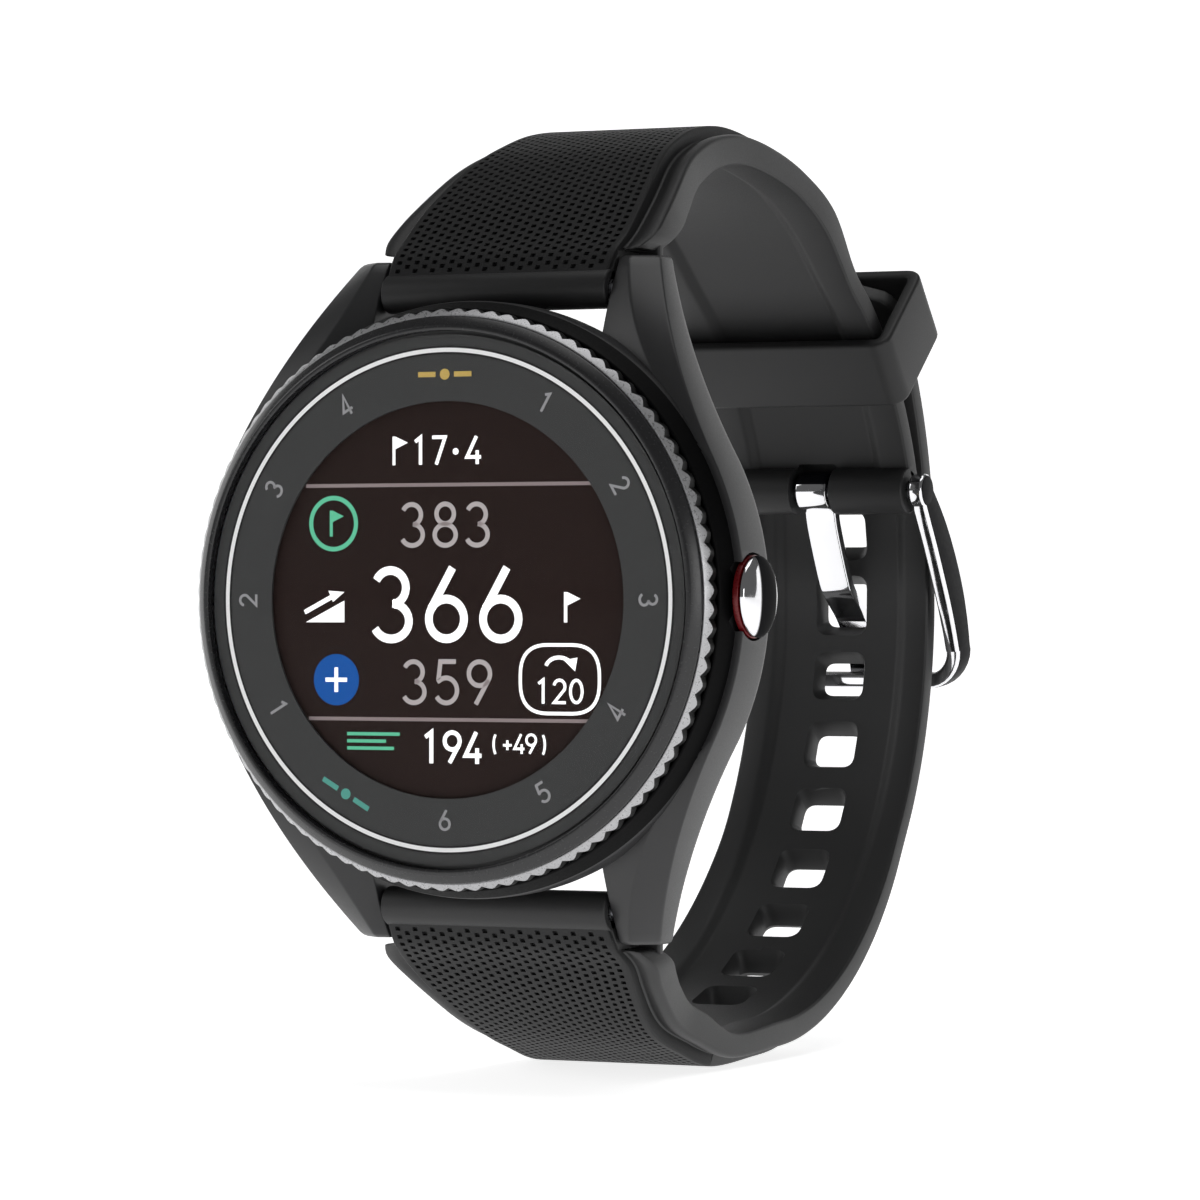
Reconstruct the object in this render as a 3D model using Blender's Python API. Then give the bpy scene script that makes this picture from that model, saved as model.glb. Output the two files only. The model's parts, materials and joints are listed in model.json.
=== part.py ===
"""Golf GPS watch on a buckled rubber strap.

Frame: +X points to three o'clock (the side button), +Z to twelve o'clock, and the dial faces -Y.
The origin is the middle of the case back's flat outer face, so +Y runs from the watch to the wrist.
All the dimensions below are in millimetres and are turned into metres when the meshes are made.
"""

import math

import bmesh
import bpy
from mathutils import Matrix, Vector

MM = 0.001
TURN = 2.0 * math.pi
GAP = 0.3                      # clearance between a piece and its neighbour
LATHE_PHASE = 0.37             # keeps turned corners off the planes of symmetry, for clean cuts

# ---- case -------------------------------------------------------------------------------------
CASE_SEGMENTS = 60
CASE_RADIUS = 23.6             # flank at three and nine o'clock
CASE_RING_RADIUS = 23.05       # round body seen between the lugs
CASE_RIM_CHAMFER_Y = -9.9
CASE_WAIST_Y = -7.6            # where the round body starts to draw in
CASE_TOP_Y = -10.3             # top of the flanks
RECESS_FLOOR_Y = -9.55         # floor under the bezel
CASE_BOTTOM_Y = -1.0
RAIL_FOOT_Y = -1.25            # underside of the flanks beside the round body
CASE_FOOT_RADIUS = 20.95
CAVITY_RADIUS = 18.4
CAVITY_STEP_Y = -8.8
COLLAR_INNER_RADIUS = 19.6     # upstanding collar that carries the lens
COLLAR_RADIUS = 20.6
COLLAR_TOP_Y = -13.4
BEZEL_RECESS_RADIUS = 22.15
RIM_RADIUS = 22.35             # thin rim that stands up round the bezel's foot
RIM_TOP_Y = -11.95
CASE_BACK_RADIUS = 20.7
SCREW_CIRCLE_RADIUS = 19.4
CONTACT_PITCH = 3.0            # row of charging contacts
CONTACT_Z = -14.2

# ---- lugs -------------------------------------------------------------------------------------
LUG_GAP = 20.2                 # clear width between a pair of lugs
LUG_START_Z = 10.6             # the flank leaves its arc here and runs straight to the tip
LUG_TIP_Z = 26.6
LUG_BAR_Y = -4.6               # spring bar axis at the lugs
LUG_BAR_Z = 24.0

# ---- bezel and dial ---------------------------------------------------------------------------
GRIP_TEETH = 96
GRIP_INNER_RADIUS = 20.95
GRIP_ROOT_RADIUS = 21.95
GRIP_TIP_RADIUS = 22.3
GRIP_BASE_RADIUS = 21.8        # plain foot of the ring, behind the teeth
GRIP_BACK_Y = -9.95
TEETH_BACK_Y = -12.25
TEETH_BEVEL_Y = -12.9
GRIP_FRONT_Y = -13.45
BEZEL_TOP_OUTER_RADIUS = 21.7
CLICK_SPRING_BACK_Y = -9.7
CLICK_SPRING_FRONT_Y = -9.85
LENS_RADIUS = 20.3
LENS_FRONT_Y = -14.4
LENS_BACK_Y = -13.85
DISPLAY_WINDOW_RADIUS = 15.2
DIAL_RADIUS = 19.4
DIAL_FRONT_Y = -13.73
DISPLAY_RADIUS = 16.4
DISPLAY_FRONT_Y = -13.43
DISPLAY_BACK_Y = -12.4

# ---- side button ------------------------------------------------------------------------------
BUTTON_Y = -8.2
BUTTON_Z = 0.25
BUTTON_RADIUS = 3.15
STEM_RADIUS = 0.6
STEM_BORE_RADIUS = 1.22
BUTTON_FLOOR_X = 22.6          # bottom of the counterbore that the button sinks into
SPRING_FLOOR_X = 20.5          # ledge inside the bore that the return spring rests on
SPRING_LEDGE = 0.6             # thickness of that ledge
BUTTON_COLLAR_BACK_X = 23.05
BUTTON_COLLAR_FRONT_X = 23.5
BUTTON_CAP_BACK_X = 23.65
BUTTON_CAP_RADIUS = 3.1
BUTTON_CAP_RIM_X = 23.8        # where the cap's dome starts
BUTTON_DOME_HEIGHT = 0.7
STEM_END_X = 16.95
O_RING_X = 19.3
RETAINER_X = 17.9
SPRING_TURNS = 2.5
SPRING_RADIUS = 0.95
SPRING_WIRE_RADIUS = 0.11

# ---- strap loop -------------------------------------------------------------------------------
LOOP_CENTRE_Y = 26.15          # the buckled loop is an arc about this point, at z = 0
UPPER_INNER_RADIUS = 31.5
UPPER_OUTER_RADIUS = 34.2
LOWER_INNER_RADIUS = 34.6
LOWER_OUTER_RADIUS = 37.2
STRAP_ROOT_HALF_WIDTH = 11.8
STRAP_NECK_HALF_WIDTH = 9.8    # between the lugs
UPPER_END_HALF_WIDTH = 8.8
TAIL_INNER_RADIUS = 36.9       # the tail lifts off the upper strap towards the keeper
TAIL_OUTER_RADIUS = 39.2
TAIL_HALF_WIDTH = 8.4
TAIL_TIP_HALF_WIDTH = 5.6
SHOULDER_WIDTH = 2.1           # from the raised panel's edge to the strap's edge
SHOULDER_DROP = 0.5            # the side shoulders lie this far below the raised panel
CHANNEL_HALF_WIDTH = 5.4       # shallow channel along the inner face
CHANNEL_DEPTH = 0.45
CHANNEL_SLOPE = 0.8            # width of the channel's sloping side
EYE_RADIUS = 1.55              # rolled end round a spring bar at the lugs
BUCKLE_EYE_RADIUS = 2.0
TANG_SLOT_HALF_WIDTH = 1.9     # notch in the strap's end that the tang turns in
BAR_RADIUS = 0.75
BAR_HOLE_RADIUS = 0.9
BAR_TIP_RADIUS = 0.45
BAR_TIP_LENGTH = 1.2
BUCKLE_END_DEG = 17.7          # place of the buckle's bar on the loop
BUCKLE_BAR_RADIUS_FROM_CENTRE = 31.2
HOLE_COUNT = 11
HOLE_WIDTH = 4.5
HOLE_LENGTH = 4.1
HOLE_PITCH_DEG = 10.25
TANG_HOLE_DEG = -0.8
TANG_HOLE_INDEX = 7            # holes further down the strap than the one in use
KEEPER_DEG = 40.0

# ---- finishes: base colour, roughness, metallic -------------------------------------------------
FINISHES = {
    "case_black": ((0.035, 0.035, 0.036), 0.42, 0.0),
    "chrome": ((0.80, 0.80, 0.82), 0.12, 1.0),
    "bezel_black": ((0.03, 0.03, 0.03), 0.25, 0.0),
    "glass": ((0.10, 0.10, 0.10), 0.05, 0.0),
    "dial_grey": ((0.045, 0.047, 0.047), 0.5, 0.0),
    "screen": ((0.018, 0.010, 0.009), 0.4, 0.0),
    "red": ((0.30, 0.01, 0.015), 0.35, 0.0),
    "rubber": ((0.035, 0.035, 0.036), 0.6, 0.0),
    "steel": ((0.55, 0.56, 0.58), 0.3, 1.0),
    "seal": ((0.02, 0.02, 0.02), 0.7, 0.0),
    "board_green": ((0.02, 0.12, 0.05), 0.5, 0.0),
    "frame_plastic": ((0.08, 0.08, 0.09), 0.6, 0.0),
    "cell": ((0.60, 0.61, 0.63), 0.35, 0.3),
    "ceramic": ((0.75, 0.70, 0.60), 0.5, 0.0),
    "gold": ((0.80, 0.60, 0.25), 0.25, 1.0),
}


# ================================================================================================
# helpers
# ================================================================================================
def clear_scene():
    for old in list(bpy.data.objects):
        bpy.data.objects.remove(old, do_unlink=True)


def finish_material(slot):
    material = bpy.data.materials.get(slot)
    if material:
        return material
    colour, roughness, metallic = FINISHES[slot]
    material = bpy.data.materials.new(slot)
    material.use_nodes = True
    shader = material.node_tree.nodes["Principled BSDF"]
    shader.inputs["Base Color"].default_value = (*colour, 1.0)
    shader.inputs["Roughness"].default_value = roughness
    shader.inputs["Metallic"].default_value = metallic
    return material


def make_object(name, bm, slot, origin=(0.0, 0.0, 0.0), sharp_deg=35.0):
    """Turn a bmesh drawn in world millimetres into an object whose origin is at origin (mm)."""
    bmesh.ops.recalc_face_normals(bm, faces=bm.faces)
    bmesh.ops.translate(bm, verts=bm.verts, vec=-Vector(origin))
    bmesh.ops.scale(bm, verts=bm.verts, vec=(MM, MM, MM))
    mesh = bpy.data.meshes.new(name)
    bm.to_mesh(mesh)
    bm.free()
    mesh.shade_smooth()
    mesh.set_sharp_from_angle(angle=math.radians(sharp_deg))
    mesh.materials.append(finish_material(slot))
    thing = bpy.data.objects.new(name, mesh)
    thing.location = Vector(origin) * MM
    bpy.context.scene.collection.objects.link(thing)
    return thing


def make_cutter(name, bm):
    cutter = make_object(name, bm, "seal")
    cutter.hide_render = True
    cutter.display_type = "WIRE"
    return cutter


def combine(thing, cutter, operation="DIFFERENCE"):
    boolean = thing.modifiers.new(cutter.name, "BOOLEAN")
    boolean.operation = operation
    boolean.solver = "EXACT"
    boolean.object = cutter


def lathe(bm, profile, segments, centre=(0.0, 0.0, 0.0), axis="Y"):
    """Spin a closed profile of (radius, height) points about an axis through centre."""
    turn = {"X": Matrix.Rotation(math.radians(90.0), 3, "Y"),
            "Y": Matrix.Rotation(math.radians(-90.0), 3, "X")}[axis]
    rings = []
    for radius, height in profile:
        if radius < 1e-6:
            rings.append([bm.verts.new(turn @ Vector((0.0, 0.0, height)) + Vector(centre))])
            continue
        ring = []
        for step in range(segments):
            angle = TURN * (step + LATHE_PHASE) / segments
            point = Vector((radius * math.cos(angle), radius * math.sin(angle), height))
            ring.append(bm.verts.new(turn @ point + Vector(centre)))
        rings.append(ring)
    for first, second in zip(rings, rings[1:] + rings[:1]):
        if len(first) == 1 and len(second) == 1:
            continue
        for step in range(segments):
            after = (step + 1) % segments
            if len(first) == 1:
                bm.faces.new((first[0], second[step], second[after]))
            elif len(second) == 1:
                bm.faces.new((first[step], second[0], first[after]))
            else:
                bm.faces.new((first[step], second[step], second[after], first[after]))
    return bm


def lathed(name, profile, slot, segments=48, centre=(0.0, 0.0, 0.0), axis="Y"):
    return make_object(name, lathe(bmesh.new(), profile, segments, centre, axis), slot, centre)


def rod_profile(radius, start, end):
    return [(0.0, start), (radius, start), (radius, end), (0.0, end)]


def tube_profile(inner, outer, start, end):
    return [(inner, start), (outer, start), (outer, end), (inner, end)]


def torus_profile(major, minor, height, steps=8):
    profile = []
    for step in range(steps):
        angle = TURN * step / steps
        profile.append((major + minor * math.cos(angle), height + minor * math.sin(angle)))
    return profile


def add_box(bm, low, high, turn_deg=0.0, pivot=(0.0, 0.0)):
    """Add a box; turn_deg swings it about the X axis through pivot (y, z)."""
    middle = (Vector(low) + Vector(high)) / 2.0
    size = Vector(high) - Vector(low)
    place = Matrix.Translation(middle) @ Matrix.Diagonal((*size, 1.0))
    made = bmesh.ops.create_cube(bm, size=1.0, matrix=place)
    if turn_deg:
        bmesh.ops.rotate(bm, verts=made["verts"], cent=(0.0, *pivot),
                         matrix=Matrix.Rotation(math.radians(turn_deg), 3, "X"))
    return made["verts"]


def boxed(name, low, high, slot, corner=0.0):
    bm = bmesh.new()
    add_box(bm, low, high)
    if corner:
        upright = [e for e in bm.edges if abs((e.verts[0].co - e.verts[1].co).y) > 1e-6]
        bmesh.ops.bevel(bm, geom=upright, offset=corner, segments=3, affect="EDGES", profile=0.5)
    return make_object(name, bm, slot)


def loft(bm, sections):
    """Join closed sections of equal point counts, and cap both ends."""
    rings = [[bm.verts.new(point) for point in section] for section in sections]
    for first, second in zip(rings, rings[1:]):
        for step in range(len(first)):
            after = (step + 1) % len(first)
            bm.faces.new((first[step], first[after], second[after], second[step]))
    bm.faces.new(rings[0])
    bm.faces.new(list(reversed(rings[-1])))
    return bm


def smooth_curve(points, per_span):
    """Catmull-Rom curve through tuples of any length."""
    ends = [points[0]] + list(points) + [points[-1]]
    curve = []
    for span in range(len(points) - 1):
        a, b, c, d = ends[span:span + 4]
        for step in range(per_span):
            t = step / per_span
            curve.append(tuple(
                0.5 * (2 * q + (r - p) * t + (2 * p - 5 * q + 4 * r - s) * t ** 2
                       + (3 * q - p - 3 * r + s) * t ** 3)
                for p, q, r, s in zip(a, b, c, d)))
    curve.append(tuple(points[-1]))
    return curve


def on_loop(radius, degrees):
    angle = math.radians(degrees)
    return (LOOP_CENTRE_Y + radius * math.cos(angle), radius * math.sin(angle))


def between(start, end, share):
    return start + (end - start) * share


# ================================================================================================
# case
# ================================================================================================
def flank_x(z):
    """Half width of the case: an arc that leaves along its tangent towards the lug tip."""
    if abs(z) <= LUG_START_Z:
        return math.sqrt(CASE_RADIUS ** 2 - z ** 2)
    start = math.sqrt(CASE_RADIUS ** 2 - LUG_START_Z ** 2)
    return start - (abs(z) - LUG_START_Z) * LUG_START_Z / start


def lug_section(side, z, shrink=0.0):
    """Six-sided section of the flank and lug at height z: inner wall, two facets, outer wall."""
    share = max(0.0, (abs(z) - LUG_START_Z) / (LUG_TIP_Z - LUG_START_Z))
    outer = flank_x(z)
    inner = LUG_GAP / 2.0
    top = CASE_TOP_Y + 7.4 * share ** 2
    ridge_x = between(outer - 0.4, inner + 0.35 * (outer - inner), share)
    ridge_y = top - 1.5 * share ** 2
    wall_bottom = top + between(4.6, 2.3, share)
    foot = between(RAIL_FOOT_Y, -0.3, share)
    points = [(inner, foot), (inner, ridge_y + between(1.2, 0.3, share)), (ridge_x, ridge_y),
              (outer, top), (outer, wall_bottom), (outer - between(2.6, 1.3, share), foot)]
    middle_x = (inner + outer) / 2.0
    middle_y = (top + foot) / 2.0
    return [Vector((side * between(x, middle_x, shrink), between(y, middle_y, shrink), z))
            for x, y in points]


def mid_case():
    blank_top = COLLAR_TOP_Y - GAP
    blank_radius = BEZEL_RECESS_RADIUS - 0.25
    body = [(0.0, blank_top), (blank_radius, blank_top), (blank_radius, RIM_TOP_Y),
            (RIM_RADIUS, RIM_TOP_Y), (CASE_RING_RADIUS, CASE_RIM_CHAMFER_Y),
            (CASE_RING_RADIUS, CASE_WAIST_Y),
            (CASE_FOOT_RADIUS, CASE_BOTTOM_Y), (0.0, CASE_BOTTOM_Y)]
    case = lathed("mid_case", body, "case_black", CASE_SEGMENTS)

    heights = [LUG_START_Z * step / 6.0 for step in range(7)]
    heights += [between(LUG_START_Z, LUG_TIP_Z - 0.5, step / 8.0) for step in range(1, 9)]
    heights = [-z for z in reversed(heights[1:])] + heights
    for side, label in ((1.0, "right"), (-1.0, "left")):
        sections = [lug_section(side, -LUG_TIP_Z, 0.2)]
        sections += [lug_section(side, z) for z in heights]
        sections += [lug_section(side, LUG_TIP_Z, 0.2)]
        combine(case, make_cutter("lug_rail_" + label, loft(bmesh.new(), sections)), "UNION")

    front = LENS_FRONT_Y - 3.0
    hollow = [(0.0, 1.0), (CAVITY_RADIUS, 1.0), (CAVITY_RADIUS, CAVITY_STEP_Y),
              (COLLAR_INNER_RADIUS, CAVITY_STEP_Y), (COLLAR_INNER_RADIUS, COLLAR_TOP_Y),
              (COLLAR_RADIUS, COLLAR_TOP_Y), (COLLAR_RADIUS, RECESS_FLOOR_Y),
              (BEZEL_RECESS_RADIUS, RECESS_FLOOR_Y), (BEZEL_RECESS_RADIUS, front), (0.0, front)]
    combine(case, make_cutter("case_hollow", lathe(bmesh.new(), hollow, CASE_SEGMENTS)))
    ledge = SPRING_FLOOR_X - SPRING_LEDGE
    counterbore = BUTTON_RADIUS + 0.2
    bore = [(0.0, 16.0), (STEM_BORE_RADIUS, 16.0), (STEM_BORE_RADIUS, ledge),
            (STEM_RADIUS + 0.2, ledge), (STEM_RADIUS + 0.2, SPRING_FLOOR_X),
            (STEM_BORE_RADIUS, SPRING_FLOOR_X), (STEM_BORE_RADIUS, BUTTON_FLOOR_X),
            (counterbore, BUTTON_FLOOR_X), (counterbore, 30.0), (0.0, 30.0)]
    combine(case, make_cutter("button_bore", lathe(bmesh.new(), bore, 24, (0.0, BUTTON_Y, BUTTON_Z), "X")))

    holes = bmesh.new()
    for side in (1.0, -1.0):
        for z in (LUG_BAR_Z, -LUG_BAR_Z):
            start, end = sorted((side * (LUG_GAP / 2.0 - 0.6), side * (LUG_GAP / 2.0 + 1.5)))
            lathe(holes, rod_profile(BAR_TIP_RADIUS + 0.25, start, end), 12, (0.0, LUG_BAR_Y, z), "X")
    for x, z in screw_places():
        lathe(holes, rod_profile(0.65, -4.4, 0.0), 12, (x, 0.0, z))
    combine(case, make_cutter("case_holes", holes))
    return case


def screw_places():
    places = []
    for quarter in range(4):
        angle = TURN * (quarter + 0.5) / 4.0
        places.append((SCREW_CIRCLE_RADIUS * math.cos(angle), SCREW_CIRCLE_RADIUS * math.sin(angle)))
    return places


def contact_places():
    return [((index - 1.5) * CONTACT_PITCH, CONTACT_Z) for index in range(4)]


def case_back():
    plug = CAVITY_RADIUS - 0.45    # the back's plug carries the gasket in a groove
    groove = plug - 0.65
    profile = [(0.0, 0.0), (CASE_BACK_RADIUS - 0.4, 0.0), (CASE_BACK_RADIUS, -0.3),
               (CASE_BACK_RADIUS, CASE_BOTTOM_Y + 0.25), (plug, CASE_BOTTOM_Y + 0.25), (plug, -1.05),
               (groove, -1.05), (groove, -1.9), (plug, -1.9), (plug, -2.3), (groove - 0.4, -2.3),
               (groove - 0.4, -1.1), (0.0, -1.1)]
    back = lathed("case_back", profile, "case_black", 36)
    holes = bmesh.new()
    for x, z in screw_places():
        lathe(holes, [(0.0, -2.8), (0.7, -2.8), (0.7, -0.5), (0.95, -0.5), (0.95, 0.6), (0.0, 0.6)],
              12, (x, 0.0, z))
    for x, z in contact_places():
        lathe(holes, rod_profile(0.95, -2.8, 0.6), 12, (x, 0.0, z))
    combine(back, make_cutter("case_back_holes", holes))
    lathed("case_back_gasket", torus_profile(17.85, 0.33, -1.475, 6), "seal", 36)

    for index, (x, z) in enumerate(screw_places(), 1):
        screw = [(0.0, -4.1), (0.42, -4.1), (0.5, -3.9), (0.5, -0.42), (0.8, -0.42), (0.8, -0.08),
                 (0.35, -0.08), (0.35, -0.3), (0.0, -0.3)]
        lathed("case_back_screw_%d" % index, screw, "steel", 10, (x, 0.0, z))
    for index, (x, z) in enumerate(contact_places(), 1):
        pin = [(0.0, -2.2), (0.4, -2.2), (0.4, -1.3), (0.7, -1.3), (0.7, -0.05), (0.0, -0.05)]
        lathed("charging_contact_%d" % index, pin, "gold", 12, (x, 0.0, z))


# ================================================================================================
# bezel, lens and dial
# ================================================================================================
def bezel_grip_ring():
    """Coin-edged ring: its outer radius steps between tooth tips and roots."""
    bm = bmesh.new()
    steps = GRIP_TEETH * 2
    rings = []
    for step in range(steps):
        angle = TURN * step / steps
        outer = GRIP_TIP_RADIUS if step % 2 == 0 else GRIP_ROOT_RADIUS
        foot = min(outer, GRIP_BASE_RADIUS)
        profile = [(GRIP_INNER_RADIUS, GRIP_BACK_Y), (foot, GRIP_BACK_Y), (foot, TEETH_BACK_Y + 0.1),
                   (outer, TEETH_BACK_Y), (outer, TEETH_BEVEL_Y), (GRIP_BASE_RADIUS, GRIP_FRONT_Y),
                   (GRIP_INNER_RADIUS, GRIP_FRONT_Y)]
        rings.append([bm.verts.new((r * math.cos(angle), y, r * math.sin(angle))) for r, y in profile])
    for first, second in zip(rings, rings[1:] + rings[:1]):
        for corner in range(len(first)):
            after = (corner + 1) % len(first)
            bm.faces.new((first[corner], second[corner], second[after], first[after]))
    make_object("bezel_grip_ring", bm, "chrome")


def bezel_and_dial():
    bezel_grip_ring()
    back = GRIP_FRONT_Y - 0.1
    top = [(LENS_RADIUS + GAP, back), (LENS_RADIUS + GAP, LENS_FRONT_Y + 0.1),
           (LENS_RADIUS + 0.6, LENS_FRONT_Y + 0.05), (BEZEL_TOP_OUTER_RADIUS, back - 0.1),
           (BEZEL_TOP_OUTER_RADIUS, back)]
    lathed("bezel_top_ring", top, "bezel_black", 60)
    spring = tube_profile(GRIP_INNER_RADIUS + 0.15, BEZEL_RECESS_RADIUS - 0.25, CLICK_SPRING_FRONT_Y,
                          CLICK_SPRING_BACK_Y)
    lathed("bezel_click_spring", spring, "steel", 36)
    lens = [(0.0, LENS_BACK_Y), (LENS_RADIUS, LENS_BACK_Y), (LENS_RADIUS, LENS_FRONT_Y + 0.2),
            (LENS_RADIUS - 0.2, LENS_FRONT_Y), (0.0, LENS_FRONT_Y)]
    lathed("lens", lens, "glass", 60)
    gasket = tube_profile(COLLAR_INNER_RADIUS + 0.05, COLLAR_RADIUS - 0.4,
                          LENS_BACK_Y + 0.15, COLLAR_TOP_Y - 0.15)
    lathed("lens_gasket", gasket, "seal", 36)
    dial = tube_profile(DISPLAY_WINDOW_RADIUS, DIAL_RADIUS, DIAL_FRONT_Y, DISPLAY_FRONT_Y - 0.15)
    lathed("dial_ring", dial, "dial_grey", 48)
    lathed("display_module", rod_profile(DISPLAY_RADIUS, DISPLAY_FRONT_Y, DISPLAY_BACK_Y), "screen", 36)
    plate = rod_profile(DISPLAY_RADIUS + 0.2, DISPLAY_BACK_Y + 0.15, DISPLAY_BACK_Y + 0.4)
    lathed("display_backplate", plate, "steel", 36)


# ================================================================================================
# electronics
# ================================================================================================
def electronics():
    frame = lathed("inner_frame", tube_profile(12.5, 18.0, -8.75, -7.4), "frame_plastic", 40)
    notch = bmesh.new()
    add_box(notch, (14.3, -9.5, -3.3), (19.5, -7.0, 3.3))
    combine(frame, make_cutter("inner_frame_notch", notch))

    board = lathed("main_circuit_board", rod_profile(17.8, -7.2, -6.4), "board_green", 40)
    notch = bmesh.new()
    add_box(notch, (17.2, -7.8, -2.8), (18.5, -6.0, 2.8))
    combine(board, make_cutter("board_notch", notch))

    boxed("button_switch", (14.8, -8.7, -1.8), (16.2, -7.35, 1.8), "frame_plastic")
    boxed("battery", (-12.0, -6.0, -12.0), (12.0, -1.6, 4.0), "cell", 1.5)
    boxed("rf_shield", (-8.0, -6.2, 5.5), (3.5, -4.9, 14.5), "steel", 0.6)
    boxed("gps_antenna", (5.2, -6.2, 6.0), (11.4, -3.6, 12.2), "ceramic", 0.4)
    lathed("vibration_motor", rod_profile(2.6, -6.2, -3.5), "steel", 24, (-11.6, 0.0, 8.4))


# ================================================================================================
# side button
# ================================================================================================
def side_button():
    axis = (0.0, BUTTON_Y, BUTTON_Z)
    cap = [(0.0, BUTTON_CAP_BACK_X), (BUTTON_CAP_RADIUS - 0.3, BUTTON_CAP_BACK_X),
           (BUTTON_CAP_RADIUS, BUTTON_CAP_RIM_X)]
    dome_steps = 4
    for step in range(1, dome_steps):
        angle = math.radians(90.0 * step / dome_steps)
        cap.append((BUTTON_CAP_RADIUS * math.cos(angle),
                    BUTTON_CAP_RIM_X + BUTTON_DOME_HEIGHT * math.sin(angle)))
    cap.append((0.0, BUTTON_CAP_RIM_X + BUTTON_DOME_HEIGHT))
    lathed("button_cap", cap, "chrome", 28, axis, "X")
    collar = tube_profile(0.95, BUTTON_RADIUS, BUTTON_COLLAR_BACK_X, BUTTON_COLLAR_FRONT_X)
    lathed("button_collar", collar, "red", 28, axis, "X")
    stem = rod_profile(STEM_RADIUS, STEM_END_X, BUTTON_COLLAR_FRONT_X)
    lathed("button_stem", stem, "steel", 16, axis, "X")
    lathed("button_o_ring", torus_profile(0.9, 0.22, O_RING_X, 6), "seal", 16, axis, "X")
    retainer = tube_profile(STEM_RADIUS + 0.15, 1.6, RETAINER_X, RETAINER_X + 0.22)
    lathed("button_retainer", retainer, "steel", 16, axis, "X")
    button_spring(axis)


def button_spring(axis):
    steps = 30
    wire_corners = [TURN * corner / 5 for corner in range(5)]
    start_x = SPRING_FLOOR_X + GAP
    end_x = BUTTON_COLLAR_BACK_X - 0.25
    sections = []
    for step in range(steps + 1):
        angle = TURN * SPRING_TURNS * step / steps
        outward = Vector((0.0, math.cos(angle), math.sin(angle)))
        middle = Vector((between(start_x, end_x, step / steps), BUTTON_Y, BUTTON_Z))
        centre = middle + outward * SPRING_RADIUS
        sections.append([centre + outward * SPRING_WIRE_RADIUS * math.cos(corner)
                         + Vector((SPRING_WIRE_RADIUS * math.sin(corner), 0.0, 0.0))
                         for corner in wire_corners])
    make_object("button_spring", loft(bmesh.new(), sections), "steel", axis)


# ================================================================================================
# strap
# ================================================================================================
# Ribs of the stretch from a lug to the arc of the loop: y and z of the outer face, y and z of the
# inner face, half width. They are for the upper half; the lower half mirrors the neck and the root.
NECK_RIBS = [
    (-5.9, 24.1, -3.3, 23.5, STRAP_NECK_HALF_WIDTH),
    (-5.1, 25.6, -0.9, 25.2, STRAP_NECK_HALF_WIDTH),
    (-4.1, 27.0, 0.9, 27.0, STRAP_NECK_HALF_WIDTH),
]
ROOT_RIBS = [
    (-4.0, 27.1, 0.95, 27.1, STRAP_ROOT_HALF_WIDTH),
    (-2.1, 28.5, 2.1, 28.0, 11.8),
]
UPPER_RIBS = [
    (0.6, 30.7, 4.4, 29.1, 11.6),
    (4.1, 33.2, 6.6, 30.4, 11.05),
    (7.35, 35.2, 9.3, 32.2, 10.4),
    (10.6, 36.6, 11.8, 33.3, 9.9),
    (15.0, 37.9, 15.6, 34.6, 9.5),
    (20.5, 38.5, 20.5, 35.3, 9.35),
    (26.5, 37.9, 25.9, 34.8, 9.35),
    (33.0, 36.3, 31.8, 33.4, 9.35),
    (39.3, 33.5, 37.4, 30.7, 9.3),
]
LOWER_RIBS = [
    (0.6, -30.7, 4.4, -29.3, 11.1),
    (4.1, -33.1, 6.6, -30.4, 10.4),
    (7.35, -34.8, 9.3, -31.9, 9.95),
    (11.5, -36.2, 12.6, -33.0, 9.9),
    (17.6, -37.7, 18.0, -34.9, 9.9),
]


def strap_section(rib):
    """Closed section across a rib: raised panel, dropped shoulders, channel on the inner face."""
    outer_y, outer_z, inner_y, inner_z, half = rib
    outer = Vector((0.0, outer_y, outer_z))
    inner = Vector((0.0, inner_y, inner_z))
    down = (inner - outer).normalized()
    panel = half - SHOULDER_WIDTH
    drop = down * SHOULDER_DROP
    channel = min(CHANNEL_HALF_WIDTH, half - 2.4)
    groove = -down * CHANNEL_DEPTH
    right = [(outer, 0.0), (outer, panel), (outer + drop, half - 0.5), (outer + drop * 1.6, half),
             (inner, half), (inner, channel + CHANNEL_SLOPE), (inner + groove, channel),
             (inner + groove, 0.0)]
    points = [place + Vector((x, 0.0, 0.0)) for place, x in right]
    left = [Vector((-point.x, point.y, point.z)) for point in points[1:-1]]
    return points + list(reversed(left))


def arc_ribs(inner_radius, outer_radius, start_deg, end_deg, half, steps):
    """Ribs along an arc of the loop. The radii may be pairs, from the start to the end."""
    ribs = []
    for step in range(steps + 1):
        share = step / steps
        degrees = between(start_deg, end_deg, share)
        inner = between(*inner_radius, share)
        outer = between(*outer_radius, share)
        ribs.append((*on_loop(outer, degrees), *on_loop(inner, degrees), between(*half, share)))
    return ribs


def mirrored(ribs):
    return [(a, -b, c, -d, half) for a, b, c, d, half in ribs]


def eye_cylinder(bm, radius, half, place, segments=20):
    return lathe(bm, rod_profile(radius, -half, half), segments, (0.0, *place), "X")


def lug_eye(strap, label, z):
    place = (LUG_BAR_Y, z)
    combine(strap, make_cutter(label + "_eye", eye_cylinder(
        bmesh.new(), EYE_RADIUS, STRAP_NECK_HALF_WIDTH, place)), "UNION")
    combine(strap, make_cutter(label + "_bore", eye_cylinder(
        bmesh.new(), BAR_HOLE_RADIUS, 15.0, place, 16)))


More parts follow.
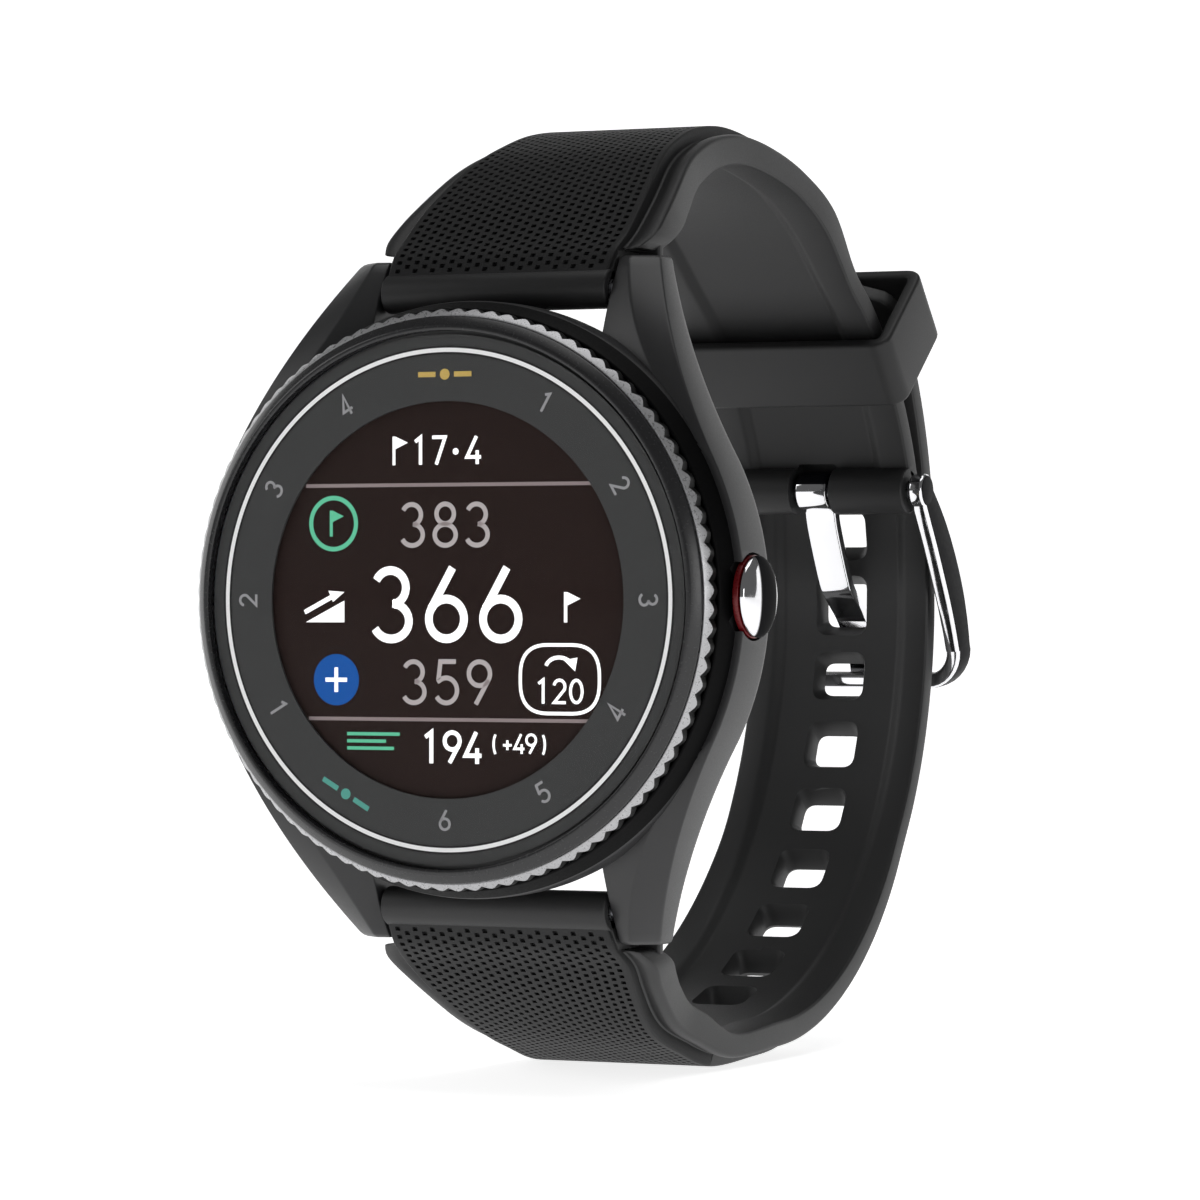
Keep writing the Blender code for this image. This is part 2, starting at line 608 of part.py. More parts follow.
def upper_strap():
    arc = arc_ribs((UPPER_INNER_RADIUS,) * 2, (UPPER_OUTER_RADIUS,) * 2, 57.0, 16.0,
                   (UPPER_END_HALF_WIDTH,) * 2, 6)
    ribs = smooth_curve(NECK_RIBS, 1) + smooth_curve(ROOT_RIBS + UPPER_RIBS + arc[:1], 2) + arc[1:]
    bm = loft(bmesh.new(), [strap_section(rib) for rib in ribs])
    strap = make_object("upper_strap", bm, "rubber", (0.0, LUG_BAR_Y, LUG_BAR_Z))
    lug_eye(strap, "upper_lug", LUG_BAR_Z)

    bar = buckle_bar_place()
    combine(strap, make_cutter("buckle_eye", eye_cylinder(
        bmesh.new(), BUCKLE_EYE_RADIUS, UPPER_END_HALF_WIDTH, bar, 20)), "UNION")
    combine(strap, make_cutter("buckle_bore", eye_cylinder(bmesh.new(), BAR_HOLE_RADIUS, 15.0, bar, 16)))
    slot = bmesh.new()
    add_box(slot, (-TANG_SLOT_HALF_WIDTH, bar[0] - 5.0, bar[1] - 6.0),
            (TANG_SLOT_HALF_WIDTH, bar[0] + 6.0, bar[1] + 2.4), BUCKLE_END_DEG, bar)
    combine(strap, make_cutter("tang_slot", slot))


def buckle_bar_place():
    return on_loop(BUCKLE_BAR_RADIUS_FROM_CENTRE, BUCKLE_END_DEG)


def strap_hole(bm, degrees):
    """Rounded rectangular hole through the strap, square to the loop."""
    low = LOOP_CENTRE_Y + LOWER_INNER_RADIUS - 1.6
    high = LOOP_CENTRE_Y + LOWER_OUTER_RADIUS + 5.8
    made = add_box(bm, (-HOLE_WIDTH / 2.0, low, -HOLE_LENGTH / 2.0),
                   (HOLE_WIDTH / 2.0, high, HOLE_LENGTH / 2.0))
    edges = {e for v in made for e in v.link_edges}
    along = [e for e in edges if abs((e.verts[0].co - e.verts[1].co).y) > 1.0]
    rounded = bmesh.ops.bevel(bm, geom=along, offset=1.0, segments=2, affect="EDGES", profile=0.5)
    touched = {v for f in rounded["faces"] for v in f.verts}
    bmesh.ops.rotate(bm, verts=list(touched), cent=(0.0, LOOP_CENTRE_Y, 0.0),
                     matrix=Matrix.Rotation(math.radians(degrees), 3, "X"))


def lower_strap():
    back = arc_ribs((LOWER_INNER_RADIUS,) * 2, (LOWER_OUTER_RADIUS + 0.3, LOWER_OUTER_RADIUS),
                    -90.0, -36.0, (9.75, TAIL_HALF_WIDTH), 8)
    flat = arc_ribs((LOWER_INNER_RADIUS,) * 2, (LOWER_OUTER_RADIUS,) * 2, -36.0, 4.0,
                    (TAIL_HALF_WIDTH,) * 2, 6)
    tail = arc_ribs((LOWER_INNER_RADIUS, TAIL_INNER_RADIUS), (LOWER_OUTER_RADIUS, TAIL_OUTER_RADIUS),
                    4.0, 41.0, (TAIL_HALF_WIDTH,) * 2, 5)
    tip = arc_ribs((TAIL_INNER_RADIUS, TAIL_INNER_RADIUS + 0.2), (TAIL_OUTER_RADIUS,) * 2, 41.0, 45.0,
                   (TAIL_HALF_WIDTH, TAIL_TIP_HALF_WIDTH), 2)
    ribs = smooth_curve(mirrored(NECK_RIBS), 1)
    ribs += smooth_curve(mirrored(ROOT_RIBS) + LOWER_RIBS + back[:1], 2)
    ribs += back[1:] + flat[1:] + tail[1:] + tip[1:]
    bm = loft(bmesh.new(), [strap_section(rib) for rib in ribs])
    strap = make_object("lower_strap", bm, "rubber", (0.0, LUG_BAR_Y, -LUG_BAR_Z))
    lug_eye(strap, "lower_lug", -LUG_BAR_Z)
    holes = bmesh.new()
    for index in range(HOLE_COUNT):
        strap_hole(holes, TANG_HOLE_DEG + (index - TANG_HOLE_INDEX) * HOLE_PITCH_DEG)
    combine(strap, make_cutter("strap_holes", holes))


def spring_bar(name, place, half):
    end = half + BAR_TIP_LENGTH
    profile = [(0.0, -end), (BAR_TIP_RADIUS, -end), (BAR_TIP_RADIUS, -half), (BAR_RADIUS, -half),
               (BAR_RADIUS, half), (BAR_TIP_RADIUS, half), (BAR_TIP_RADIUS, end), (0.0, end)]
    lathed(name, profile, "steel", 12, (0.0, *place), "X")


# ================================================================================================
# buckle and keeper
# ================================================================================================
# Paths of (y, z) points that carry on from the buckle's bar.
ARM_POINTS = [(59.4, 5.2), (62.5, 0.2), (64.2, -4.2), (64.6, -7.1)]
ARM_INNER_X = 9.15
ARM_OUTER_X = 10.5
ARM_HALF_DEPTH = 1.1
FRAME_EYE_RADIUS = 1.75
TANG_POINTS = [(57.4, 6.4), (59.75, 1.9), (60.9, 0.55), (63.1, -1.1), (65.2, -3.3), (66.5, -5.6),
               (66.7, -7.8)]
TANG_EYE_RADIUS = 1.6
TANG_HALF_WIDTH = 1.45
TANG_HALF_DEPTH = 0.5
KEEPER_INNER_RADIUS = 29.8     # from the loop's centre
KEEPER_OUTER_RADIUS = 40.7
KEEPER_WALL = 1.1
KEEPER_HALF_X = 10.4
KEEPER_HALF_LENGTH = 3.3       # along the strap


def ribbon(path, half_depth, low_x, high_x):
    """Sections of a flat bar that follows a path of (y, z) points."""
    sections = []
    for index, (y, z) in enumerate(path):
        before = Vector(path[max(index - 1, 0)])
        after = Vector(path[min(index + 1, len(path) - 1)])
        along = (after - before).normalized()
        side = Vector((-along.y, along.x)) * half_depth
        sections.append([Vector((low_x, y + side.x, z + side.y)), Vector((high_x, y + side.x, z + side.y)),
                         Vector((high_x, y - side.x, z - side.y)), Vector((low_x, y - side.x, z - side.y))])
    return sections


def buckle_frame():
    bar = buckle_bar_place()
    path = smooth_curve([bar] + ARM_POINTS, 3)
    right = loft(bmesh.new(), ribbon(path, ARM_HALF_DEPTH, ARM_INNER_X, ARM_OUTER_X))
    frame = make_object("buckle_frame", right, "chrome", (0.0, *bar))
    left = loft(bmesh.new(), ribbon(path, ARM_HALF_DEPTH, -ARM_OUTER_X, -ARM_INNER_X))
    combine(frame, make_cutter("left_arm", left), "UNION")

    end = Vector(ARM_POINTS[-1])
    cross = bmesh.new()
    add_box(cross, (-ARM_OUTER_X, end.x - 1.05, end.y - 1.9), (ARM_OUTER_X, end.x + 0.85, end.y + 1.5),
            -9.0, end)
    edges = [e for e in cross.edges if abs((e.verts[0].co - e.verts[1].co).x) > 1.0]
    bmesh.ops.bevel(cross, geom=edges, offset=0.5, segments=2, affect="EDGES", profile=0.5)
    combine(frame, make_cutter("outer_bar", cross), "UNION")

    for label, side in (("right", 1.0), ("left", -1.0)):
        start, stop = sorted((side * ARM_INNER_X, side * ARM_OUTER_X))
        eye = lathe(bmesh.new(), rod_profile(FRAME_EYE_RADIUS, start, stop), 20, (0.0, *bar), "X")
        combine(frame, make_cutter(label + "_frame_eye", eye), "UNION")
    pins = lathe(bmesh.new(), rod_profile(BAR_TIP_RADIUS + 0.2, -ARM_OUTER_X - 1.0, ARM_OUTER_X + 1.0),
                 12, (0.0, *bar), "X")
    combine(frame, make_cutter("frame_pin_holes", pins))


def buckle_tang():
    bar = buckle_bar_place()
    bm = bmesh.new()
    lathe(bm, tube_profile(BAR_HOLE_RADIUS, TANG_EYE_RADIUS, -TANG_HALF_WIDTH, TANG_HALF_WIDTH),
          20, (0.0, *bar), "X")
    tang = make_object("buckle_tang", bm, "chrome", (0.0, *bar))
    start = (bar[0] + 0.75, bar[1] - 1.05)
    path = smooth_curve([start] + TANG_POINTS, 2)
    blade_half = TANG_HALF_WIDTH - 0.02
    blade = loft(bmesh.new(), ribbon(path, TANG_HALF_DEPTH, -blade_half, blade_half))
    combine(tang, make_cutter("tang_blade", blade), "UNION")
    bore = eye_cylinder(bmesh.new(), BAR_HOLE_RADIUS, TANG_HALF_WIDTH * 2.0, bar, 20)
    combine(tang, make_cutter("tang_bore", bore))


def strap_keeper():
    """Loose rubber loop round the upper strap and the tail of the lower one."""
    low = LOOP_CENTRE_Y + KEEPER_INNER_RADIUS
    high = LOOP_CENTRE_Y + KEEPER_OUTER_RADIUS
    half_x = KEEPER_HALF_X
    bm = bmesh.new()
    add_box(bm, (-half_x, low, -KEEPER_HALF_LENGTH), (half_x, high, KEEPER_HALF_LENGTH))
    edges = [e for e in bm.edges if abs((e.verts[0].co - e.verts[1].co).z) > 1.0]
    bmesh.ops.bevel(bm, geom=edges, offset=1.0, segments=3, affect="EDGES", profile=0.5)
    centre = (0.0, LOOP_CENTRE_Y, 0.0)
    swing = Matrix.Rotation(math.radians(KEEPER_DEG), 3, "X")
    bmesh.ops.rotate(bm, verts=bm.verts, cent=centre, matrix=swing)
    keeper = make_object("strap_keeper", bm, "rubber", (0.0, *on_loop(35.0, KEEPER_DEG)))
    window = bmesh.new()
    inside_x = half_x - KEEPER_WALL
    beyond = KEEPER_HALF_LENGTH * 2.0
    add_box(window, (-inside_x, low + KEEPER_WALL, -beyond), (inside_x, high - KEEPER_WALL, beyond))
    bmesh.ops.rotate(window, verts=window.verts, cent=centre, matrix=swing)
    combine(keeper, make_cutter("keeper_window", window))


# ================================================================================================
# build
# ================================================================================================
def main():
    clear_scene()
    mid_case()
    case_back()
    bezel_and_dial()
    electronics()
    side_button()
    upper_strap()
    lower_strap()
    spring_bar("upper_spring_bar", (LUG_BAR_Y, LUG_BAR_Z), LUG_GAP / 2.0 - 0.2)
    spring_bar("lower_spring_bar", (LUG_BAR_Y, -LUG_BAR_Z), LUG_GAP / 2.0 - 0.2)
    spring_bar("buckle_spring_bar", buckle_bar_place(), ARM_INNER_X - 0.2)
    buckle_frame()
    buckle_tang()
    strap_keeper()


main()
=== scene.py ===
"""Golf GPS watch: the fine surfaces, materials, floor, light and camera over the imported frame.

The frame is the CAD's: +X three o'clock, +Z twelve o'clock, the dial faces -Y, metres.
The sizes below are in millimetres, and MM turns them into metres.
"""
import json
import math

import bmesh
import bpy
from mathutils import Matrix, Vector


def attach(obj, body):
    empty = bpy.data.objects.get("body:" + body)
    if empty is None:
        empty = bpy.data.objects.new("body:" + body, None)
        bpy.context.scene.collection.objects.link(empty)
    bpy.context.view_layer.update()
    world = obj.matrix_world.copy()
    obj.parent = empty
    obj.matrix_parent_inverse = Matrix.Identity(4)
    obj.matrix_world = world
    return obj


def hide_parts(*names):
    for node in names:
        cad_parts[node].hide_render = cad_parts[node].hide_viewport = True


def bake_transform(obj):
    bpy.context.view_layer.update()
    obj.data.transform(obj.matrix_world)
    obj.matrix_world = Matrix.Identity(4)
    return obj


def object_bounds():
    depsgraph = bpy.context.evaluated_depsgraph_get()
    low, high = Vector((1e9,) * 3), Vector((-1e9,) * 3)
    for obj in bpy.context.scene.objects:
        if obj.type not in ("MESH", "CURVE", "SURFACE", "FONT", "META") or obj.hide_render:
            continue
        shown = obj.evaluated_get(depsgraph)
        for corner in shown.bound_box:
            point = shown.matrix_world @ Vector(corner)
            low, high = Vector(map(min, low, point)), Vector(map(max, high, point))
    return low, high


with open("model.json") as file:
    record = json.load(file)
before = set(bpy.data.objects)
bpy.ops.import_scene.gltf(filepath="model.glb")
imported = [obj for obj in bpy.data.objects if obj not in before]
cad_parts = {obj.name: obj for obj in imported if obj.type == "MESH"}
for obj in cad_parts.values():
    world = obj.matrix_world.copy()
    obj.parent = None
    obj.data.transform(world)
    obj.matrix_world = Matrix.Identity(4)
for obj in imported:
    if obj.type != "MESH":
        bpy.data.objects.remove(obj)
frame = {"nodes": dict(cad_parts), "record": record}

cad_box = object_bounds()

MM = 0.001
TURN = 2.0 * math.pi
NOISE_LOW = 0.3     # the part of the noise's range that carries detail
NOISE_HIGH = 0.7
nodes = frame["nodes"]


# ---- materials ----
def set_inputs(node, **values):
    """Set a node's sockets by name, with _ for a space."""
    for name, value in values.items():
        node.inputs[name.replace("_", " ")].default_value = value


def principled(made):
    return made.node_tree.nodes["Principled BSDF"]


def surface(name, colour, roughness, metallic=0.0, grain=0.4, mottle=0.1, spread=0.06, relief=0.004,
            stretch=(1.0, 1.0, 1.0), **sockets):
    """Principled surface. Noise of the given grain (mm) moves its colour, roughness and height (mm)."""
    made = bpy.data.materials.new(name)
    made.use_nodes = True
    tree = made.node_tree
    link = tree.links.new
    shader = principled(made)
    set_inputs(shader, Metallic=metallic, **sockets)
    place = tree.nodes.new("ShaderNodeTexCoord")
    mapping = tree.nodes.new("ShaderNodeMapping")
    set_inputs(mapping, Scale=[s / (grain * MM) for s in stretch])
    noise = tree.nodes.new("ShaderNodeTexNoise")
    set_inputs(noise, Scale=1.0, Detail=3.0)
    link(place.outputs["Object"], mapping.inputs["Vector"])
    link(mapping.outputs["Vector"], noise.inputs["Vector"])

    ramp = tree.nodes.new("ShaderNodeValToRGB")
    stops = zip(ramp.color_ramp.elements, (NOISE_LOW, NOISE_HIGH), (1.0 - mottle, 1.0 + mottle))
    for stop, position, strength in stops:
        stop.position = position
        stop.color = (*[c * strength for c in colour], 1.0)
    link(noise.outputs["Fac"], ramp.inputs["Fac"])
    link(ramp.outputs["Color"], shader.inputs["Base Color"])

    polish = tree.nodes.new("ShaderNodeMapRange")
    set_inputs(polish, From_Min=NOISE_LOW, From_Max=NOISE_HIGH, To_Min=max(0.02, roughness - spread),
               To_Max=roughness + spread)
    link(noise.outputs["Fac"], polish.inputs["Value"])
    link(polish.outputs["Result"], shader.inputs["Roughness"])
    if relief:
        bump = tree.nodes.new("ShaderNodeBump")
        set_inputs(bump, Distance=relief * MM)
        link(noise.outputs["Fac"], bump.inputs["Height"])
        link(bump.outputs["Normal"], shader.inputs["Normal"])
    return made


def ink(name, colour, glow):
    """Printed or lit mark: a matte surface that also glows a little. On the dial's print the glow is painted
    light.
    """
    made = surface(name, colour, 0.6, grain=0.15, mottle=0.03, spread=0.03, relief=0.0,
                   Specular_IOR_Level=0.1)
    set_inputs(principled(made), Emission_Color=(*colour, 1.0), Emission_Strength=glow)
    return made


LOOKS = {
    "case_black": surface("case_plastic", (0.020, 0.020, 0.021), 0.40, grain=0.12, relief=0.003),
    "rubber": surface("strap_rubber", (0.0145, 0.0145, 0.015), 0.50, grain=0.10, mottle=0.12, relief=0.006,
                      Specular_IOR_Level=0.36),
    # painted light: lighter copies of the strap rubber and panel for the lower strap, standing in for light
    # on its tail
    "tail_rubber_painted_light": surface("tail_rubber_painted_light", (0.024, 0.024, 0.0245), 0.50, grain=0.10, mottle=0.12, relief=0.006,
                           Specular_IOR_Level=0.42),
    "tail_panel_painted_light": surface("tail_panel_rubber_painted_light", (0.017, 0.017, 0.0175), 0.58, grain=0.10, relief=0.006,
                          Specular_IOR_Level=0.30),
    "panel": surface("strap_panel_rubber", (0.011, 0.011, 0.0115), 0.58, grain=0.10, relief=0.006,
                     Specular_IOR_Level=0.25),
    "chrome": surface("polished_chrome", (0.86, 0.86, 0.88), 0.07, 1.0, grain=0.5, mottle=0.02,
                      spread=0.03, relief=0.0006),
    "coin": surface("coin_edge_metal", (0.44, 0.44, 0.45), 0.30, 0.60, grain=0.25, mottle=0.06),
    # painted reflection: near-black, low-IOR look standing in for the dark surroundings mirrored by the
    # buckle's chrome
    "painted_dark_reflection": surface("buckle_painted_dark_reflection", (0.005, 0.005, 0.006), 0.35, grain=0.4, relief=0.001,
                           IOR=1.1),
    # painted shade: near-black, with little specular, for the case band next to the coin edge
    "rim": surface("case_rim_painted_shade", (0.003, 0.003, 0.0032), 0.50, grain=0.2, relief=0.002,
                   Specular_IOR_Level=0.06),
    # painted shade: near-black metal for the coin edge's toothed outer wall
    "notch": surface("coin_edge_painted_shade", (0.02, 0.02, 0.02), 0.35, 0.6, grain=0.3),
    "bezel_black": surface("bezel_gloss", (0.017, 0.017, 0.018), 0.26, grain=0.25, mottle=0.03, relief=0.0,
                           spread=0.02),
    "dial_grey": surface("dial_print_grey", (0.040, 0.041, 0.041), 0.55, grain=0.08, mottle=0.05,
                         relief=0.0),
    "screen": surface("display_dark", (0.026, 0.0145, 0.0125), 0.6, grain=0.05, mottle=0.08, relief=0.0,
                      Specular_IOR_Level=0.1),
    "red": surface("crown_red", (0.13, 0.002, 0.004), 0.30, 0.2, grain=0.2, relief=0.001),
    "steel": surface("brushed_steel", (0.52, 0.53, 0.55), 0.30, 1.0, grain=0.08, mottle=0.06,
                     stretch=(0.1, 1.0, 1.0), relief=0.002),
    "seal": surface("seal_rubber", (0.012, 0.012, 0.012), 0.7, grain=0.2, relief=0.006),
    "board_green": surface("solder_mask", (0.012, 0.09, 0.035), 0.42, grain=1.2, mottle=0.35, relief=0.01),
    "frame_plastic": surface("inner_plastic", (0.06, 0.06, 0.065), 0.6, grain=0.2),
    "cell": surface("cell_foil", (0.55, 0.56, 0.58), 0.38, 0.4, grain=0.8, mottle=0.08, relief=0.02),
    "ceramic": surface("antenna_ceramic", (0.70, 0.64, 0.54), 0.5, grain=0.4, mottle=0.06),
    "gold": surface("gold_plate", (0.83, 0.60, 0.24), 0.22, 1.0, grain=0.2, mottle=0.05, relief=0.001),
    # the glow of the dial's print looks below is painted light
    "white_print": ink("white_print", (0.78, 0.78, 0.78), 0.35),
    "dark_print": surface("dark_print", (0.004, 0.004, 0.004), 0.6, grain=0.1, relief=0.0),
    "number_print": ink("number_print", (0.34, 0.34, 0.35), 0.20),
    "gold_print": ink("gold_print", (0.52, 0.37, 0.11), 0.30),
    "teal_print": ink("teal_print", (0.10, 0.36, 0.30), 0.25),
    "lit_white": ink("lit_white", (0.95, 0.95, 0.95), 0.80),
    "lit_grey": ink("lit_grey", (0.50, 0.46, 0.46), 0.25),
    "lit_line": ink("lit_line", (0.33, 0.27, 0.27), 0.15),
    "lit_green": ink("lit_green", (0.12, 0.52, 0.32), 0.40),
    "lit_blue": ink("lit_blue", (0.010, 0.082, 0.33), 0.45),
}


def glass_look():
    made = surface("lens_glass", (0.01, 0.01, 0.011), 0.05, grain=3.0, mottle=0.05, spread=0.02, relief=0.0)
    set_inputs(principled(made), Alpha=0.04)
    return made


CROWN_FRONT_Y = -11.3
CROWN_BACK_Y = -5.1


def crown_painted_reflection_look():
    """Chrome of the crown with a painted reflection: bright towards the front of the watch and at its back
    edge, dark between, set by the cap's own position.
    """
    made = surface("crown_chrome_painted_reflection", (0.86, 0.86, 0.88), 0.07, 1.0, grain=0.5, mottle=0.02, spread=0.03,
                   relief=0.0006)
    tree = made.node_tree
    link = tree.links.new
    place = tree.nodes.new("ShaderNodeTexCoord")
    split = tree.nodes.new("ShaderNodeSeparateXYZ")
    link(place.outputs["Object"], split.inputs["Vector"])
    across = tree.nodes.new("ShaderNodeMapRange")
    set_inputs(across, From_Min=CROWN_FRONT_Y * MM, From_Max=CROWN_BACK_Y * MM)
    link(split.outputs["Y"], across.inputs["Value"])
    # painted reflection: bright and dark bands along the cap's Y stand in for what the dome mirrors
    painted_reflection_bands = tree.nodes.new("ShaderNodeValToRGB")
    stops = painted_reflection_bands.color_ramp.elements
    stops[0].position, stops[1].position = 0.33, 0.37
    stops[0].color = (0.86, 0.86, 0.88, 1.0)
    stops[1].color = (0.012, 0.012, 0.013, 1.0)
    for position, tone in ((0.85, 0.012), (0.88, 0.86)):
        stops.new(position).color = (tone, tone, tone, 1.0)
    link(across.outputs["Result"], painted_reflection_bands.inputs["Fac"])
    shader = principled(made)
    link(painted_reflection_bands.outputs["Color"], shader.inputs["Base Color"])
    bright = tree.nodes.new("ShaderNodeMapRange")
    set_inputs(bright, From_Max=0.5)
    link(painted_reflection_bands.outputs["Color"], bright.inputs["Value"])
    link(bright.outputs["Result"], shader.inputs["Metallic"])
    set_inputs(shader, IOR=1.02)
    return made


LOOKS["glass"] = glass_look()
# the crown's look carries a painted reflection
LOOKS["crown"] = crown_painted_reflection_look()


# ---- shapes ----
SHARP_DEG = 32.0    # an edge over this angle is shaded sharp


def add_piece(name, bm, look, body, replaced=(), sharp_deg=SHARP_DEG, extra_looks=()):
    """Turn a bmesh in world millimetres into a piece of the model."""
    thing = loose(name, bm, sharp_deg)
    return settle(thing, look, body, replaced, extra_looks)


def add_object(name, data):
    thing = bpy.data.objects.new(name, data)
    bpy.context.scene.collection.objects.link(thing)
    return thing


def loose(name, bm, sharp_deg=SHARP_DEG):
    bmesh.ops.recalc_face_normals(bm, faces=bm.faces)
    bmesh.ops.scale(bm, verts=bm.verts, vec=(MM, MM, MM))
    mesh = bpy.data.meshes.new(name)
    bm.to_mesh(mesh)
    bm.free()
    mesh.shade_smooth()
    mesh.set_sharp_from_angle(angle=math.radians(sharp_deg))
    return add_object(name, mesh)


def settle(thing, look, body, replaced=(), extra_looks=()):
    thing.data.materials.clear()
    for each in (look, *extra_looks):
        thing.data.materials.append(LOOKS[each])
    if body:
        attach(thing, body)
    if replaced:
        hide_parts(*replaced)
    return thing


def second_look(thing, chosen):
    """Give a piece's second look to the faces chosen by their normal and centre (mm)."""
    for face in thing.data.polygons:
        if chosen(face.normal, face.center / MM):
            face.material_index = 1


def cut(thing, cutters, operation="DIFFERENCE"):
    """Apply Booleans to a loose object in place, and remove the cutters."""
    for cutter in cutters:
        boolean = thing.modifiers.new("cut", "BOOLEAN")
        boolean.operation = operation
        boolean.solver = "EXACT"
        boolean.object = cutter
        evaluated = thing.evaluated_get(bpy.context.evaluated_depsgraph_get())
        shaped = bpy.data.meshes.new_from_object(evaluated)
        thing.modifiers.clear()
        thing.data = shaped
        bpy.data.objects.remove(cutter, do_unlink=True)
    thing.data.shade_smooth()
    thing.data.set_sharp_from_angle(angle=math.radians(SHARP_DEG))


def filleted(corners, radii, steps=3):
    """Closed outline with rounded corners: always steps + 1 points for each corner."""
    outline = []
    count = len(corners)
    for index, corner in enumerate(corners):
        to_last = corners[index - 1] - corner
        to_next = corners[(index + 1) % count] - corner
        reach = min(radii[index], to_last.length * 0.45, to_next.length * 0.45)
        start = corner + to_last.normalized() * reach
        end = corner + to_next.normalized() * reach
        for step in range(steps + 1):
            t = step / steps
            outline.append(start * (1 - t) ** 2 + corner * (2 * t * (1 - t)) + end * t * t)
    return outline


def flat_outline(points, radius):
    """Rounded outline of (x, y) points, with one radius or a list of them."""
    radii = radius if isinstance(radius, (list, tuple)) else [radius] * len(points)
    return [(p.x, p.y) for p in filleted([Vector(p) for p in points], radii)]


def oblong(x1, x2, y1, y2):
    """Corners of a rectangle, in order from (x1, y1) by way of (x2, y1)."""
    return [(x1, y1), (x2, y1), (x2, y2), (x1, y2)]


def spin(bm, profile, segments, centre=(0.0, 0.0, 0.0), axis="Y"):
    """Spin a closed profile of (radius, height) points. Points on the axis become one vertex."""
    rings = []
    for radius, height in profile:
        count = 1 if radius < 1e-6 else segments
        ring = []
        for step in range(count):
            angle = TURN * step / segments
            across = (radius * math.cos(angle), radius * math.sin(angle))
            place = (across[0], height, across[1]) if axis == "Y" else (height, across[0], across[1])
            ring.append(bm.verts.new(Vector(place) + Vector(centre)))
        rings.append(ring)
    for first, second in zip(rings, rings[1:] + rings[:1]):
        if len(first) == 1 and len(second) == 1:
            continue
        for step in range(segments):
            after = (step + 1) % segments
            corners = [first[step % len(first)], first[after % len(first)],
                       second[after % len(second)], second[step % len(second)]]
            bm.faces.new(list(dict.fromkeys(corners)))
    return bm


def loft(bm, sections, closed=False):
    """Skin sections of equal count. The ends are capped unless the loft closes on itself."""
    rings = [[bm.verts.new(point) for point in section] for section in sections]
    for first, second in zip(rings, rings[1:] + rings[:1] if closed else rings[1:]):
        for step in range(len(first)):
            after = (step + 1) % len(first)
            bm.faces.new((first[step], first[after], second[after], second[step]))
    if not closed:
        bm.faces.new(rings[0])
        bm.faces.new(list(reversed(rings[-1])))
    return bm


def smooth_curve(points, per_span):
    """Catmull-Rom curve through tuples of any length."""
    ends = [points[0]] + list(points) + [points[-1]]
    curve = []
    for span in range(len(points) - 1):
        a, b, c, d = ends[span:span + 4]
        for step in range(per_span):
            t = step / per_span
            curve.append(tuple(
                0.5 * (2 * q + (r - p) * t + (2 * p - 5 * q + 4 * r - s) * t ** 2
                       + (3 * q - p - 3 * r + s) * t ** 3)
                for p, q, r, s in zip(a, b, c, d)))
    curve.append(tuple(points[-1]))
    return curve


def between(start, end, share):
    return start + (end - start) * share


def mixed(first, second, share):
    return tuple(between(a, b, share) for a, b in zip(first, second))


# ---- case ----
CASE_RADIUS = 23.6
LUG_START_Z = 10.6
LUG_TIP_Z = 26.6
LUG_GAP = 20.2
LUG_BAR_Y = -4.6
LUG_BAR_Z = 24.0
CASE_TOP_Y = -10.3
RAIL_FOOT_Y = -1.25
BUTTON_Y = -8.2
BUTTON_Z = 0.25
BUTTON_FLOOR_X = 22.6
SCREW_CIRCLE = 19.4
SHADE_BAND_TOP_Y, SHADE_BAND_FOOT_Y = -12.2, -9.92        # the band of the case next to the coin edge that takes the painted shade look
SHADE_BAND_INNER, SHADE_BAND_OUTER = 21.8, 22.95


def flank_x(z):
    if abs(z) <= LUG_START_Z:
        return math.sqrt(CASE_RADIUS ** 2 - z ** 2)
    start = math.sqrt(CASE_RADIUS ** 2 - LUG_START_Z ** 2)
    return start - (abs(z) - LUG_START_Z) * LUG_START_Z / start


def lug_section(side, z, shrink=0.0):
    share = max(0.0, (abs(z) - LUG_START_Z) / (LUG_TIP_Z - LUG_START_Z))
    outer = flank_x(z)
    inner = LUG_GAP / 2.0
    top = CASE_TOP_Y + 7.4 * share ** 2
    ridge_x = between(outer - 0.4, inner + 0.35 * (outer - inner), share)
    ridge_y = top - 1.5 * share ** 2
    wall_bottom = top + between(4.6, 2.3, share)
    foot = between(RAIL_FOOT_Y, -0.3, share)
    points = [(inner, foot), (inner, ridge_y + between(1.6, 0.45, share)), (ridge_x, ridge_y),
              (outer, top), (outer, wall_bottom), (outer - between(2.6, 1.3, share), foot)]
    middle = Vector((side * (inner + outer) / 2.0, (top + foot) / 2.0, z))
    corners = [Vector((side * x, y, z)) for x, y in points]
    edge = between(0.12, 0.20, share)
    rounded = filleted(corners, [0.3, 0.15, edge, edge, 0.35, 0.4], 3)
    return [point + (middle - point) * shrink for point in rounded]


